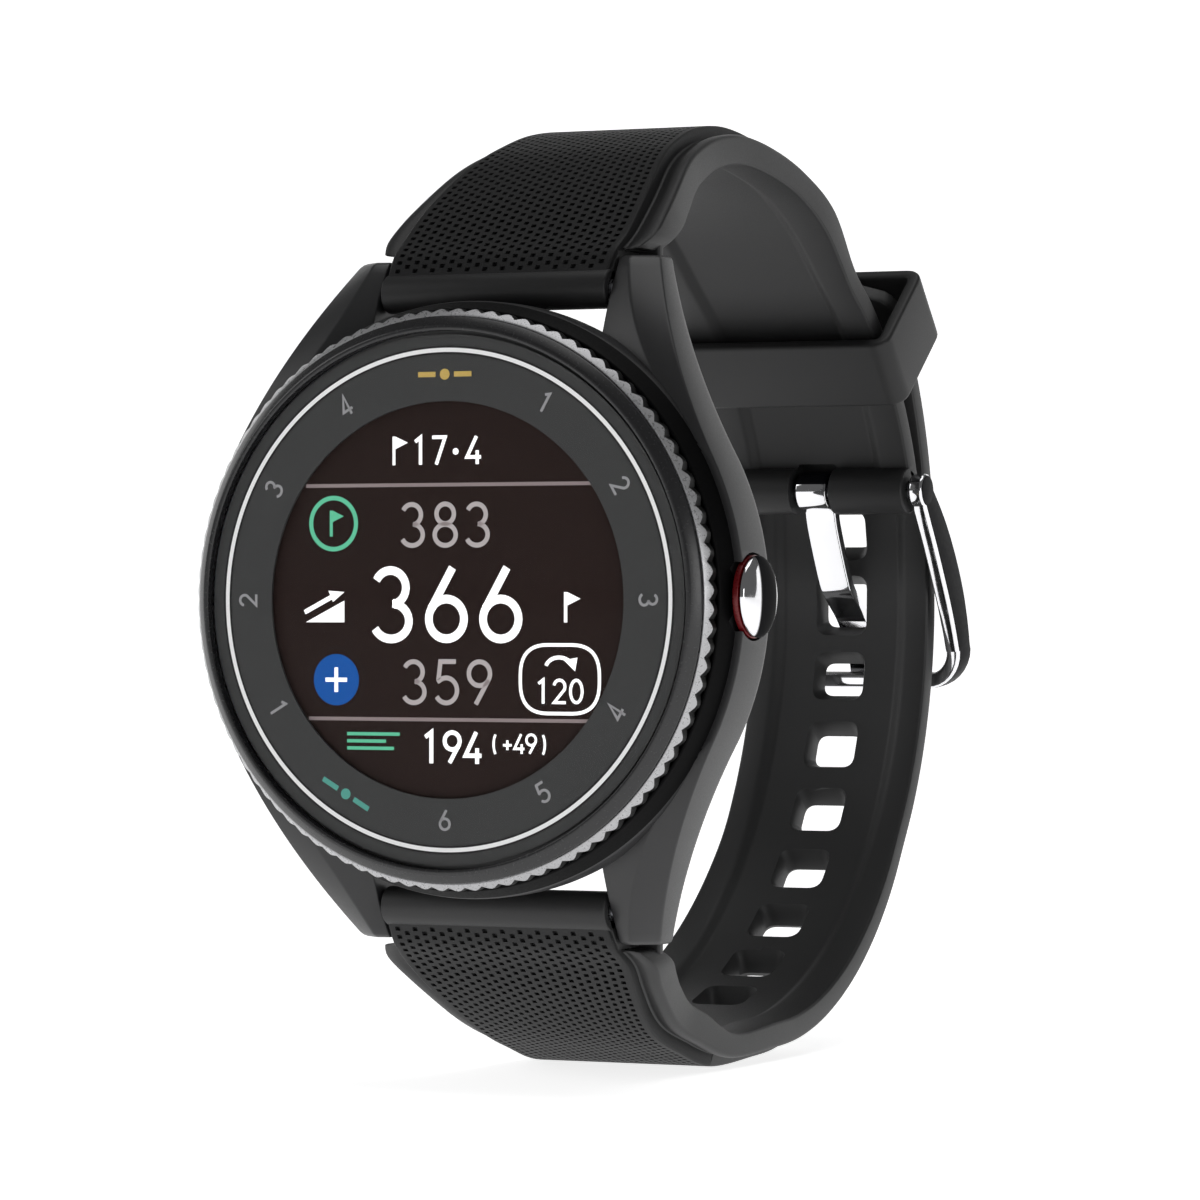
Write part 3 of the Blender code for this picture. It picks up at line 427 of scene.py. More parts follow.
def case_body():
    ring = flat_outline([(0.0, -13.7), (21.9, -13.7), (21.9, -11.95), (22.35, -11.95), (23.05, -9.9),
                         (23.05, -7.6), (20.95, -1.0), (0.0, -1.0)],
                        [0.0, 0.0, 0.0, 0.12, 0.3, 0.5, 0.3, 0.0])
    case = loose("case_body", spin(bmesh.new(), ring, 220))
    rails = []
    for side in (1.0, -1.0):
        heights = [LUG_START_Z * step / 14.0 for step in range(15)]
        heights += [between(LUG_START_Z, LUG_TIP_Z - 0.35, step / 26.0) for step in range(1, 27)]
        heights = [-z for z in reversed(heights[1:])] + heights
        ends = [(LUG_TIP_Z - 0.12, 0.05), (LUG_TIP_Z, 0.16)]
        sections = [lug_section(side, -z, shrink) for z, shrink in reversed(ends)]
        sections += [lug_section(side, z) for z in heights]
        sections += [lug_section(side, z, shrink) for z, shrink in ends]
        rails.append(loose("rail", loft(bmesh.new(), sections)))
    cut(case, rails, "UNION")
    hollow = [(0.0, 1.0), (18.4, 1.0), (18.4, -8.8), (19.6, -8.8), (19.6, -13.4), (20.6, -13.4),
              (20.6, -9.55), (22.15, -9.55), (22.15, -17.0), (0.0, -17.0)]
    counterbore = oblong(0.0, 3.35, BUTTON_FLOOR_X, 30.0)
    stem_bore = oblong(0.0, 1.22, 16.0, 23.0)
    axis = (0.0, BUTTON_Y, BUTTON_Z)
    bars = bmesh.new()
    for side in (1.0, -1.0):
        for z in (LUG_BAR_Z, -LUG_BAR_Z):
            start, end = sorted((side * (LUG_GAP / 2.0 - 0.6), side * (LUG_GAP / 2.0 + 1.5)))
            spin(bars, oblong(0.0, 0.7, start, end), 24, (0.0, LUG_BAR_Y, z), "X")
    screws = bmesh.new()
    for x, z in screw_places():
        spin(screws, oblong(0.0, 0.65, -4.4, 0.0), 20, (x, 0.0, z))
    cut(case, [loose("tool", spin(bmesh.new(), hollow, 220)),
               loose("tool", spin(bmesh.new(), counterbore, 64, axis, "X")),
               loose("tool", spin(bmesh.new(), stem_bore, 32, axis, "X")),
               loose("tool", bars), loose("tool", screws)])
    settle(case, "case_black", "case", ["mid_case"], ["rim"])
    # the case band next to the coin edge takes the painted shade look
    second_look(case, lambda normal, at: SHADE_BAND_TOP_Y < at.y < SHADE_BAND_FOOT_Y
                and SHADE_BAND_INNER < math.hypot(at.x, at.z) < SHADE_BAND_OUTER)


def screw_places():
    places = []
    for quarter in range(4):
        angle = TURN * (quarter + 0.5) / 4.0
        places.append((SCREW_CIRCLE * math.cos(angle), SCREW_CIRCLE * math.sin(angle)))
    return places


def case_back():
    outline = flat_outline(
        [(0.0, 0.0), (20.7, 0.0), (20.7, -0.75), (17.95, -0.75), (17.95, -2.3), (16.9, -2.3),
         (16.9, -1.1), (0.0, -1.1)], [0.0, 0.35, 0.05, 0.05, 0.1, 0.1, 0.1, 0.0])
    back = loose("back_plate", spin(bmesh.new(), outline, 160))
    holes = bmesh.new()
    for x, z in screw_places():
        spin(holes, [(0.0, -2.8), (0.7, -2.8), (0.7, -0.5), (0.95, -0.5), (0.95, 0.6), (0.0, 0.6)],
             32, (x, 0.0, z))
    for index in range(4):
        spin(holes, oblong(0.0, 0.95, -2.8, 0.6), 32, ((index - 1.5) * 3.0, 0.0, -14.2))
    rim = spin(bmesh.new(), oblong(15.9, 16.2, -0.12, 1.0), 160)
    cut(back, [loose("tool", holes), loose("tool", rim)])
    settle(back, "case_black", "case", ["case_back"])


# ---- bezel, glass and dial ----
COIN_TEETH = 96
COIN_TIP_RADIUS = 22.3
COIN_ROOT_RADIUS = 21.6
COIN_NOTCH = 0.27
COIN_WAVE = (0.0, 0.42, 0.82, 1.0, 0.82, 0.42)    # height of a tooth along its pitch
COIN_BEVEL_Y = -12.9
COIN_BEVEL_SLOPE = 1.25


def coin_edge():
    """Metal ring with sharp notches between rounded teeth."""
    bm = bmesh.new()
    steps = COIN_TEETH * len(COIN_WAVE)
    sections = []
    for step in range(steps):
        angle = TURN * step / steps
        tip = COIN_TIP_RADIUS - COIN_NOTCH * (1.0 - COIN_WAVE[step % len(COIN_WAVE)])
        bevel_y = COIN_BEVEL_Y - (COIN_TIP_RADIUS - tip) * COIN_BEVEL_SLOPE
        profile = [(20.95, -9.95), (21.75, -9.95), (21.8, -10.0), (21.8, -12.1), (tip - 0.05, -12.2),
                   (tip, -12.26), (tip, bevel_y), (21.85, -13.46), (21.80, -13.5), (21.74, -13.5),
                   (21.72, -13.3), (20.95, -13.3)]
        sections.append([Vector((r * math.cos(angle), y, r * math.sin(angle))) for r, y in profile])
    loft(bm, sections, closed=True)
    edge = add_piece("coin_edge", bm, "coin", "bezel", ["bezel_grip_ring"], 25.0, ["notch"])
    # the toothed outer wall behind the bevel takes the painted shade look
    second_look(edge, lambda normal, at: at.y > COIN_BEVEL_Y and math.hypot(at.x, at.z) > COIN_ROOT_RADIUS)


def bezel_and_glass():
    coin_edge()
    bevel = flat_outline([(20.6, -13.55), (20.6, -14.32), (20.95, -14.35), (21.69, -13.72), (21.69, -13.55)],
                         [0.02, 0.08, 0.15, 0.12, 0.05])
    add_piece("bezel_bevel", spin(bmesh.new(), bevel, 240), "bezel_black", "bezel",
              ["bezel_top_ring"])
    glass = flat_outline(oblong(0.0, 20.3, -13.85, -14.4), [0.0, 0.03, 0.14, 0.0])
    add_piece("watch_glass", spin(bmesh.new(), glass, 240), "glass", "case", ["lens"])
    dial = [(15.2, -13.58), (19.4, -13.58), (19.4, -13.73), (20.3, -13.73), (20.3, -13.8), (15.2, -13.8)]
    add_piece("dial_face", spin(bmesh.new(), dial, 200), "dial_grey", "case", ["dial_ring"])
    screen = flat_outline(oblong(0.0, 16.4, -13.43, -12.4), [0.0, 0.05, 0.05, 0.0])
    add_piece("display_face", spin(bmesh.new(), screen, 120), "screen", "case",
              ["display_module"])


# ---- stroke figures ----
def arc(cx, cy, rx, ry, start, end, steps=18):
    """Points of an ellipse's arc, in degrees from the right, anticlockwise when end > start."""
    points = []
    for step in range(steps + 1):
        angle = math.radians(between(start, end, step / steps))
        points.append((cx + rx * math.cos(angle), cy + ry * math.sin(angle)))
    return points


def ring(cx, cy, rx, ry):
    return arc(cx, cy, rx, ry, 0.0, 360.0, 32)


FIGURES = {
    "0": [ring(0.31, 0.5, 0.26, 0.445)],
    "1": [[(0.10, 0.80), (0.31, 0.95), (0.31, 0.0)]],
    "2": [arc(0.30, 0.69, 0.245, 0.255, 170.0, -32.0) + [(0.06, 0.05), (0.58, 0.05)]],
    "3": [arc(0.28, 0.72, 0.23, 0.225, 155.0, -80.0), arc(0.29, 0.28, 0.265, 0.235, 85.0, -155.0)],
    "4": [[(0.60, 0.25), (0.05, 0.25), (0.42, 0.97)], [(0.45, 0.48), (0.45, 0.0)]],
    "5": [[(0.53, 0.95), (0.15, 0.95), (0.10, 0.55)] + arc(0.29, 0.32, 0.27, 0.275, 130.0, -150.0)],
    "6": [ring(0.31, 0.31, 0.26, 0.26), [(0.09, 0.45), (0.40, 0.98)]],
    "7": [[(0.05, 0.95), (0.56, 0.95), (0.21, 0.0)]],
    "8": [ring(0.31, 0.735, 0.215, 0.215), ring(0.31, 0.275, 0.26, 0.23)],
    "9": [ring(0.31, 0.69, 0.26, 0.26), [(0.53, 0.55), (0.22, 0.02)]],
    "+": [[(0.08, 0.42), (0.56, 0.42)], [(0.32, 0.18), (0.32, 0.66)]],
    "(": [arc(0.52, 0.46, 0.30, 0.62, 130.0, 230.0)],
    ")": [arc(0.10, 0.46, 0.30, 0.62, 50.0, -50.0)],
    ".": [ring(0.31, 0.45, 0.05, 0.05)],
    "q": [[(0.60, 0.25), (0.05, 0.25), (0.42, 0.97), (0.42, 0.0)]],    # closed four
}


def stroke(bm, points, width, place):
    """Flat ribbon along points. place turns an (x, y) of the drawing into a world point."""
    closed = (Vector(points[0]) - Vector(points[-1])).length < 1e-6
    line = points[:-1] if closed else points
    count = len(line)
    sides = []
    for index, point in enumerate(line):
        here = Vector(point)
        last = Vector(line[index - 1]) if closed or index else here
        after = Vector(line[(index + 1) % count]) if closed or index < count - 1 else here
        before_dir = (here - last).normalized() if (here - last).length else (after - here).normalized()
        after_dir = (after - here).normalized() if (after - here).length else before_dir
        along = (before_dir + after_dir).normalized()
        slope = max(0.45, along.dot(after_dir))
        side = Vector((-along.y, along.x)) * (width / 2.0 / slope)
        sides.append((bm.verts.new(place(here + side)), bm.verts.new(place(here - side))))
    joints = list(zip(sides, sides[1:] + (sides[:1] if closed else [])))
    for (a, b), (c, d) in joints:
        bm.faces.new((a, b, d, c))


def figures(bm, text, centre, height, weight, advance, depth, turn_deg=0.0):
    """Draw text centred on (x, z), height mm tall, with its up direction turned clockwise."""
    turn = Matrix.Rotation(math.radians(-turn_deg), 2)
    pitch = height * advance
    start = -pitch * (len(text) - 1) / 2.0
    for index, letter in enumerate(text):
        offset = start + index * pitch

        def place(point):
            flat = Vector(((point.x - 0.31) * height + offset, (point.y - 0.48) * height))
            flat = turn @ flat + Vector(centre)
            return Vector((flat.x, depth, flat.y))

        for line in FIGURES[letter]:
            stroke(bm, line, weight / height, place)


def plate(bm, outline, depth):
    bm.faces.new([bm.verts.new((x, depth, z)) for x, z in outline])


def flag(bm, x, z, height, weight, depth):
    """Golf flag: a pole and a pennant."""
    foot = z - height / 2.0
    top = z + height / 2.0
    plate(bm, oblong(x - weight / 2, x + weight / 2, foot, top), depth)
    plate(bm, [(x + weight / 2, top), (x + height * 0.55, top - height * 0.22),
               (x + weight / 2, top - height * 0.44)], depth)


def circle(radius, centre, segments):
    return [(centre[0] + radius * math.cos(TURN * s / segments),
             centre[1] + radius * math.sin(TURN * s / segments)) for s in range(segments)]


def annulus(bm, inner, outer, depth, centre=(0.0, 0.0), segments=200):
    rings = [[bm.verts.new((x, depth, z)) for x, z in circle(radius, centre, segments)]
             for radius in (inner, outer)]
    for step in range(segments):
        after = (step + 1) % segments
        bm.faces.new((rings[0][step], rings[0][after], rings[1][after], rings[1][step]))


def disc(bm, radius, depth, centre, segments):
    plate(bm, circle(radius, centre, segments), depth)


def thick(bm, amount):
    """Give flat drawings a thickness towards the viewer."""
    bmesh.ops.recalc_face_normals(bm, faces=bm.faces)
    raised = bmesh.ops.extrude_face_region(bm, geom=list(bm.faces))
    moved = [v for v in raised["geom"] if isinstance(v, bmesh.types.BMVert)]
    bmesh.ops.translate(bm, verts=moved, vec=(0.0, -amount, 0.0))
    return bm


MARK_THICKNESS = 0.012


def mark(name, bm, look):
    add_piece(name, thick(bm, MARK_THICKNESS), look, "case")


DIAL_PRINT_Y = -13.805
SCREEN_PRINT_Y = -13.44
NUMBER_RADIUS = 17.25
LOWER_NUMBER_RADIUS = 16.85
LOWER_HOURS = (4, 5, 6, 8)      # their numbers stand with the foot outwards
BAR_OFFSET = 1.55               # bars at both sides of a mark's dot
BAR_HALF_LENGTH = 0.75
BAR_HALF_WIDTH = 0.2


def dial_marks():
    line = bmesh.new()
    annulus(line, 18.95, 19.27, DIAL_PRINT_Y)
    mark("dial_line", line, "white_print")
    border = bmesh.new()
    annulus(border, 18.78, 18.93, DIAL_PRINT_Y)
    annulus(border, 19.29, 19.44, DIAL_PRINT_Y)
    mark("dial_line_border", border, "dark_print")
    numbers = bmesh.new()
    for hour, text in ((1, "1"), (2, "2"), (3, "3"), (4, "q"), (5, "5"), (6, "6"), (8, "1"), (9, "2"),
                       (10, "3"), (11, "q")):
        angle = TURN * hour / 12.0
        lower = hour in LOWER_HOURS
        radius = LOWER_NUMBER_RADIUS if lower else NUMBER_RADIUS
        turn = math.degrees(angle) + (180.0 if lower else 0.0)
        centre = (radius * math.sin(angle), radius * math.cos(angle))
        figures(numbers, text, centre, 1.6, 0.21, 0.7, DIAL_PRINT_Y, turn)
    mark("dial_numbers", numbers, "number_print")
    for name, look, hour in (("dial_gold_mark", "gold_print", 12), ("dial_teal_mark", "teal_print", 7)):
        bm = bmesh.new()
        angle = TURN * hour / 12.0
        turn = Matrix.Rotation(-angle, 2)
        centre = turn @ Vector((0.0, NUMBER_RADIUS))
        disc(bm, 0.42, DIAL_PRINT_Y, centre, 24)
        for offset in (-BAR_OFFSET, BAR_OFFSET):
            corners = oblong(offset - BAR_HALF_LENGTH, offset + BAR_HALF_LENGTH, -BAR_HALF_WIDTH,
                             BAR_HALF_WIDTH)
            placed = [turn @ Vector((x, NUMBER_RADIUS + y)) for x, y in corners]
            plate(bm, [(p.x, p.y) for p in placed], DIAL_PRINT_Y)
        mark(name, bm, look)


def display_marks():
    y = SCREEN_PRINT_Y

    def on_screen(point):
        return Vector((point.x, y, point.y))

    white = bmesh.new()
    flag(white, -4.6, 11.45, 2.2, 0.24, y)
    for text, x in (("17", -1.5), (".", 0.75), ("4", 2.3)):
        figures(white, text, (x, 11.42), 2.2, 0.28, 0.72, y)
    figures(white, "366", (-0.05, -0.45), 5.85, 0.66, 0.80, y)
    plate(white, [(-12.35, -1.72), (-8.95, -1.72), (-8.95, -0.05)], y)
    stroke(white, [(-12.45, -0.95), (-9.9, 0.32)], 0.36, on_screen)
    plate(white, [(-10.35, 0.72), (-9.95, -0.15), (-8.95, 0.62)], y)
    flag(white, 10.15, -0.55, 2.3, 0.28, y)
    figures(white, "194", (0.45, -11.3), 2.5, 0.34, 0.72, y)
    figures(white, "(+49)", (6.2, -10.95), 1.55, 0.2, 0.66, y)
    figures(white, "120", (9.65, -6.95), 1.9, 0.24, 0.74, y)
    stroke(white, arc(9.6, -5.2, 1.15, 0.85, 165.0, 30.0), 0.3, on_screen)
    plate(white, [(10.0, -4.55), (11.15, -4.35), (10.95, -5.4)], y)
    badge = filleted([Vector(c) for c in oblong(6.3, 13.0, -8.6, -3.4)], [2.3] * 4, 10)
    outline = [(p.x, p.y) for p in badge]
    stroke(white, outline + outline[:1], 0.27, on_screen)
    plus = [(-0.95, 0.16), (-0.16, 0.16), (-0.16, 0.95), (0.16, 0.95), (0.16, 0.16), (0.95, 0.16),
            (0.95, -0.16), (0.16, -0.16), (0.16, -0.95), (-0.16, -0.95), (-0.16, -0.16), (-0.95, -0.16)]
    plate(white, [(x - 9.65, z - 6.15) for x, z in plus], y - 0.02)
    mark("display_white", white, "lit_white")

    grey = bmesh.new()
    figures(grey, "383", (-0.15, 5.7), 3.5, 0.37, 0.80, y)
    figures(grey, "359", (0.0, -6.35), 3.5, 0.37, 0.80, y)
    mark("display_grey", grey, "lit_grey")

    lines = bmesh.new()
    for z in (8.82, -9.15):
        half = math.sqrt(15.15 ** 2 - z ** 2)
        plate(lines, oblong(-half, half, z - 0.14, z + 0.14), y)
    mark("display_lines", lines, "lit_line")

    green = bmesh.new()
    annulus(green, 1.80, 2.15, y, (-9.9, 5.9), 64)
    flag(green, -10.1, 5.9, 2.0, 0.26, y)
    for row, end in enumerate((-4.1, -5.3, -4.6)):
        z = -10.3 - row * 0.55
        plate(green, oblong(-8.7, end, z - 0.13, z + 0.13), y)
    mark("display_green", green, "lit_green")

    blue = bmesh.new()
    disc(blue, 1.98, y, (-9.65, -6.15), 64)
    mark("display_blue", blue, "lit_blue")


# ---- side button ----
CAP_RADIUS = 3.1
CAP_BACK_X = 23.62
DOME_START_X = 23.8
DOME_HEIGHT = 0.7
DOME_STEPS = 12


def side_button():
    axis = (0.0, BUTTON_Y, BUTTON_Z)
    cap = [(0.0, CAP_BACK_X), (CAP_RADIUS - 0.12, CAP_BACK_X), (CAP_RADIUS, CAP_BACK_X + 0.08),
           (CAP_RADIUS, DOME_START_X)]
    for step in range(1, DOME_STEPS):
        angle = math.radians(90.0 * step / DOME_STEPS)
        cap.append((CAP_RADIUS * math.cos(angle), DOME_START_X + DOME_HEIGHT * math.sin(angle)))
    cap.append((0.0, DOME_START_X + DOME_HEIGHT))
    # the cap's chrome carries a painted reflection in bright and dark bands
    add_piece("crown_cap", spin(bmesh.new(), cap, 96, axis, "X"), "crown", "crown_button",
              ["button_cap"], 40.0)
    collar = flat_outline(oblong(1.2, 3.15, 23.05, 23.5), 0.08)
    add_piece("crown_ring", spin(bmesh.new(), collar, 96, axis, "X"), "red", "crown_button",
              ["button_collar"])


# ---- strap ----
LOOP_CENTRE_Y = 26.15
NECK_HALF = 9.8
# outer y and z, inner y and z, half width, half width of the raised panel
NECK_RIBS = [(-5.9, 24.3, -3.3, 23.5, NECK_HALF, 9.35), (-5.1, 25.6, -0.9, 25.2, NECK_HALF, 9.5),
             (-4.1, 27.0, 0.9, 27.0, NECK_HALF, 9.6)]
ROOT_RIBS = [(-4.0, 27.1, 0.95, 27.1, 11.1, 9.7), (-2.1, 28.5, 2.1, 28.0, 11.8, 9.7)]
UPPER_RIBS = [(0.6, 30.7, 4.4, 29.1, 11.6, 9.5), (4.1, 33.2, 6.6, 30.4, 11.05, 8.95),
              (7.35, 35.2, 9.3, 32.2, 10.4, 8.3), (10.6, 36.6, 11.8, 33.3, 9.9, 7.8),
              (15.0, 37.9, 15.6, 34.6, 9.5, 7.4), (20.5, 38.5, 20.5, 35.3, 9.35, 7.25),
              (26.5, 37.9, 25.9, 34.8, 9.35, 7.25), (33.0, 36.3, 31.8, 33.4, 9.35, 7.25),
              (39.3, 33.5, 37.4, 30.7, 9.3, 7.2)]
LOWER_RIBS = [(0.6, -30.7, 4.4, -29.3, 11.1, 9.1), (4.1, -33.1, 6.6, -30.4, 10.4, 8.3),
              (7.35, -34.8, 9.3, -31.9, 9.95, 7.85), (11.5, -36.2, 12.6, -33.0, 9.9, 7.8),
              (17.6, -37.7, 18.0, -34.9, 9.9, 7.8)]
UPPER_INNER_RADIUS = 31.5
UPPER_OUTER_RADIUS = 34.2
LOWER_INNER_RADIUS = 34.6
LOWER_OUTER_RADIUS = 37.2
UPPER_END_HALF = 8.8
TAIL_HALF = 8.4
CHANNEL_HALF = 5.4
CHANNEL_DEPTH = 0.45
STRAP_STEP = 0.55
SHOULDER_WIDTH = 2.1
NECK_ROLL_RADIUS = 1.55
END_ROLL_RADIUS = 2.0
BORE_RADIUS = 0.9
BORE_HALF = 15.0
BUCKLE_BAR_DEG = 17.7


def on_loop(radius, degrees):
    angle = math.radians(degrees)
    return (LOOP_CENTRE_Y + radius * math.cos(angle), radius * math.sin(angle))


BUCKLE_BAR = on_loop(31.2, BUCKLE_BAR_DEG)


def arc_ribs(inner, outer, start_deg, end_deg, half, steps):
    ribs = []
    for step in range(steps + 1):
        share = step / steps
        degrees = between(start_deg, end_deg, share)
        width = between(*half, share)
        ribs.append((*on_loop(between(*outer, share), degrees), *on_loop(between(*inner, share), degrees),
                     width, width - SHOULDER_WIDTH))
    return ribs


def flipped(ribs):
    return [(a, -b, c, -d, half, panel) for a, b, c, d, half, panel in ribs]


class Path:
    """Ribs looked up by the length along the strap's outer line."""

    def __init__(self, ribs):
        self.ribs = ribs
        self.lengths = [0.0]
        for last, rib in zip(ribs, ribs[1:]):
            self.lengths.append(self.lengths[-1] + math.hypot(rib[0] - last[0], rib[1] - last[1]))
        self.total = self.lengths[-1]

    def at(self, length):
        length = min(max(length, 0.0), self.total)
        for index in range(1, len(self.lengths)):
            if length <= self.lengths[index]:
                span = self.lengths[index] - self.lengths[index - 1]
                share = (length - self.lengths[index - 1]) / span if span else 0.0
                return mixed(self.ribs[index - 1], self.ribs[index], share)
        return self.ribs[-1]


def strap_section(rib, sunk, shrink=0.0):
    """Rounded section: panel, shoulders, side walls, and the channel on the inner face."""
    outer = Vector((0.0, rib[0], rib[1]))
    inner = Vector((0.0, rib[2], rib[3]))
    half, panel = rib[4], rib[5]
    down = (inner - outer).normalized()
    thick_here = (inner - outer).length
    top = 0.45 if sunk else 0.0
    edge = panel - (0.15 if sunk else 0.0)
    channel = min(CHANNEL_HALF, half - 2.4)
    groove = min(1.2, 0.4 * thick_here)
    rail = min(0.72, 0.25 * thick_here)
    wide = half - panel > 1.0
    side = [(0.0, top, 0.0), (edge, top, 0.22), (panel + 0.28, groove if wide else 0.3, 0.2),
            (half - (0.75 if wide else 0.08), rail if wide else 0.45, 0.35),
            (half, rail + 0.15 if wide else 0.5, 0.3), (half, thick_here, 0.45),
            (channel + 0.8, thick_here, 0.3), (channel, thick_here - CHANNEL_DEPTH, 0.2),
            (0.0, thick_here - CHANNEL_DEPTH, 0.0)]
    corners = [Vector((x, 0.0, 0.0)) + outer + down * depth for x, depth, _ in side]
    radii = [radius for _, _, radius in side]
    corners += [Vector((-c.x, c.y, c.z)) for c in reversed(corners[1:-1])]
    radii += list(reversed(radii[1:-1]))
    outline = filleted(corners, radii, 3)
    middle = (outer + inner) / 2.0
    return [point + (middle - point) * shrink for point in outline]


def root_lips(side):
    """Short rubber lips behind the lug tips, which close the view between a lug and the strap."""
    bm = bmesh.new()
    for x_low, x_high in ((9.0, 11.5), (-11.5, -9.0)):
        corners = [Vector((x, y, 0.0)) for x, y in oblong(x_low, x_high, 0.06, 0.93)]
        outline = filleted(corners, [0.25] * 4, 4)
        loft(bm, [[Vector((p.x, p.y, side * z)) for p in outline] for z in (25.9, 27.8)])
    return loose("lips", bm)


def strap_body(bm, path, panel_end):
    """Loft the strap along a path. The panel is sunk up to panel_end, where a patterned sheet lies."""
    rows = [(0.25, True), (panel_end - 0.02, True), (panel_end + 0.02, False), (path.total, False)]
    length = STRAP_STEP
    while length < path.total:
        if abs(length - panel_end) > 0.12:
            rows.append((length, length < panel_end))
        length += STRAP_STEP
    sections = [strap_section(path.at(0.0), True, 0.05), strap_section(path.at(0.08), True, 0.018)]
    sections += [strap_section(path.at(length), sunk) for length, sunk in sorted(rows)]
    return loft(bm, sections)


CELLS_ACROSS = 24
CELL_LENGTH = 0.41
DIMPLE_DEPTH = 0.32
PANEL_MARGIN = 0.45
# places across a cell, in half cells, or along it, in cells; 1 marks the floor of a dimple
COLUMN_SHARES = ((-0.56, 0), (-0.42, 1), (0.42, 1), (0.56, 0))
ROW_SHARES = ((-0.48, 0), (-0.36, 1), (0.36, 1), (0.48, 0))


def dimple_sheet(name, ribs, start, end):
    """Raised panel with a checkered lattice of square dimples, as one sheet with turned-down edges."""
    path = Path(smooth_curve(ribs, 10))
    count = int((end - start) / CELL_LENGTH)
    columns = [(-1.0, None)]
    for cell in range(CELLS_ACROSS):
        centre = (cell + 0.5) / CELLS_ACROSS * 2.0 - 1.0
        half_cell = 1.0 / CELLS_ACROSS
        for share, inside in COLUMN_SHARES:
            columns.append((centre + share * half_cell, (cell, inside)))
    columns.append((1.0, None))
    rows = [(start, None), (start + PANEL_MARGIN * 0.5, None)]
    for cell in range(count):
        centre = start + PANEL_MARGIN + (cell + 0.5) * (end - start - 2.0 * PANEL_MARGIN) / count
        for share, inside in ROW_SHARES:
            rows.append((centre + share * CELL_LENGTH, (cell, inside)))
    rows += [(end - PANEL_MARGIN * 0.5, None), (end, None)]
    bm = bmesh.new()
    grid = []
    for length, row_cell in rows:
        rib = path.at(length)
        outer = Vector((0.0, rib[0], rib[1]))
        down = (Vector((0.0, rib[2], rib[3])) - outer).normalized()
        panel = rib[5]
        wall = min(1.2, 0.4 * (Vector((0.0, rib[2], rib[3])) - outer).length) + 0.1
        flat = panel - 0.28
        row = [(-panel - 0.2, wall), (-panel - 0.16, 0.4), (-panel - 0.1, 0.12), (-panel + 0.02, 0.015)]
        for u, column_cell in columns:
            floor = row_cell and column_cell and row_cell[1] and column_cell[1]
            sunk = floor and (row_cell[0] + column_cell[0]) % 2 == 0
            row.append((u * flat, DIMPLE_DEPTH if sunk else 0.0))
        row += [(-x, depth) for x, depth in reversed(row[:4])]
        grid.append([bm.verts.new(outer + down * depth + Vector((x, 0.0, 0.0))) for x, depth in row])
    skirts = []
    for line, length in ((grid[0], start), (grid[-1], end)):
        rib = path.at(length)
        down = Vector((0.0, rib[2] - rib[0], rib[3] - rib[1])).normalized()
        skirts.append([bm.verts.new(v.co + down * 0.5) for v in line])
    grid = [skirts[0]] + grid + [skirts[1]]
    for first, second in zip(grid, grid[1:]):
        for step in range(len(first) - 1):
            bm.faces.new((first[step], first[step + 1], second[step + 1], second[step]))
    return loose(name, bm, 28.0)


def rod(bm, radius, half, place, segments=64, edge=0.25):
    outline = flat_outline(oblong(0.0, radius, -half, half), [0.0, edge, edge, 0.0])
    return spin(bm, outline, segments, (0.0, *place), "X")


def hole_cutter(bm, degrees, low, high, extra):
    """Rounded hole, wider at both faces of the strap. Extra adds to its half length along the strap."""
    sections = []
    for radius, half_x, half_z, corner in ((low - 1.8, 2.75, 2.45, 1.4), (low - 0.6, 2.75, 2.45, 1.4),
                                           (low + 0.3, 2.25, 1.95, 1.0), (high - 0.3, 2.1, 1.45, 0.9),
                                           (high + 0.6, 2.5, 1.9, 1.2), (high + 1.8, 2.5, 1.9, 1.2)):
        corners = [Vector((sx * half_x, LOOP_CENTRE_Y + radius, sz * (half_z + extra)))
                   for sx, sz in ((1, -1), (1, 1), (-1, 1), (-1, -1))]
        sections.append(filleted(corners, [corner] * 4, 6))
    turn = Matrix.Rotation(math.radians(degrees), 3, "X")
    centre = Vector((0.0, LOOP_CENTRE_Y, 0.0))
    loft(bm, [[turn @ (point - centre) + centre for point in section] for section in sections])


UPPER_PANEL_END = 44.0
LOWER_PANEL_END = 24.0
NECK_LENGTH = 3.25      # a patterned sheet's path begins this much earlier, on the neck
SHEET_START = 1.1
HOLES = 11
TANG_HOLE = 7
TANG_HOLE_DEG = -0.8
TANG_HOLE_EXTRA = 0.45
HOLE_PITCH_DEG = 10.25
TAIL_START_DEG = 4.0
TAIL_END_DEG = 41.0
TAIL_RISE = 2.1


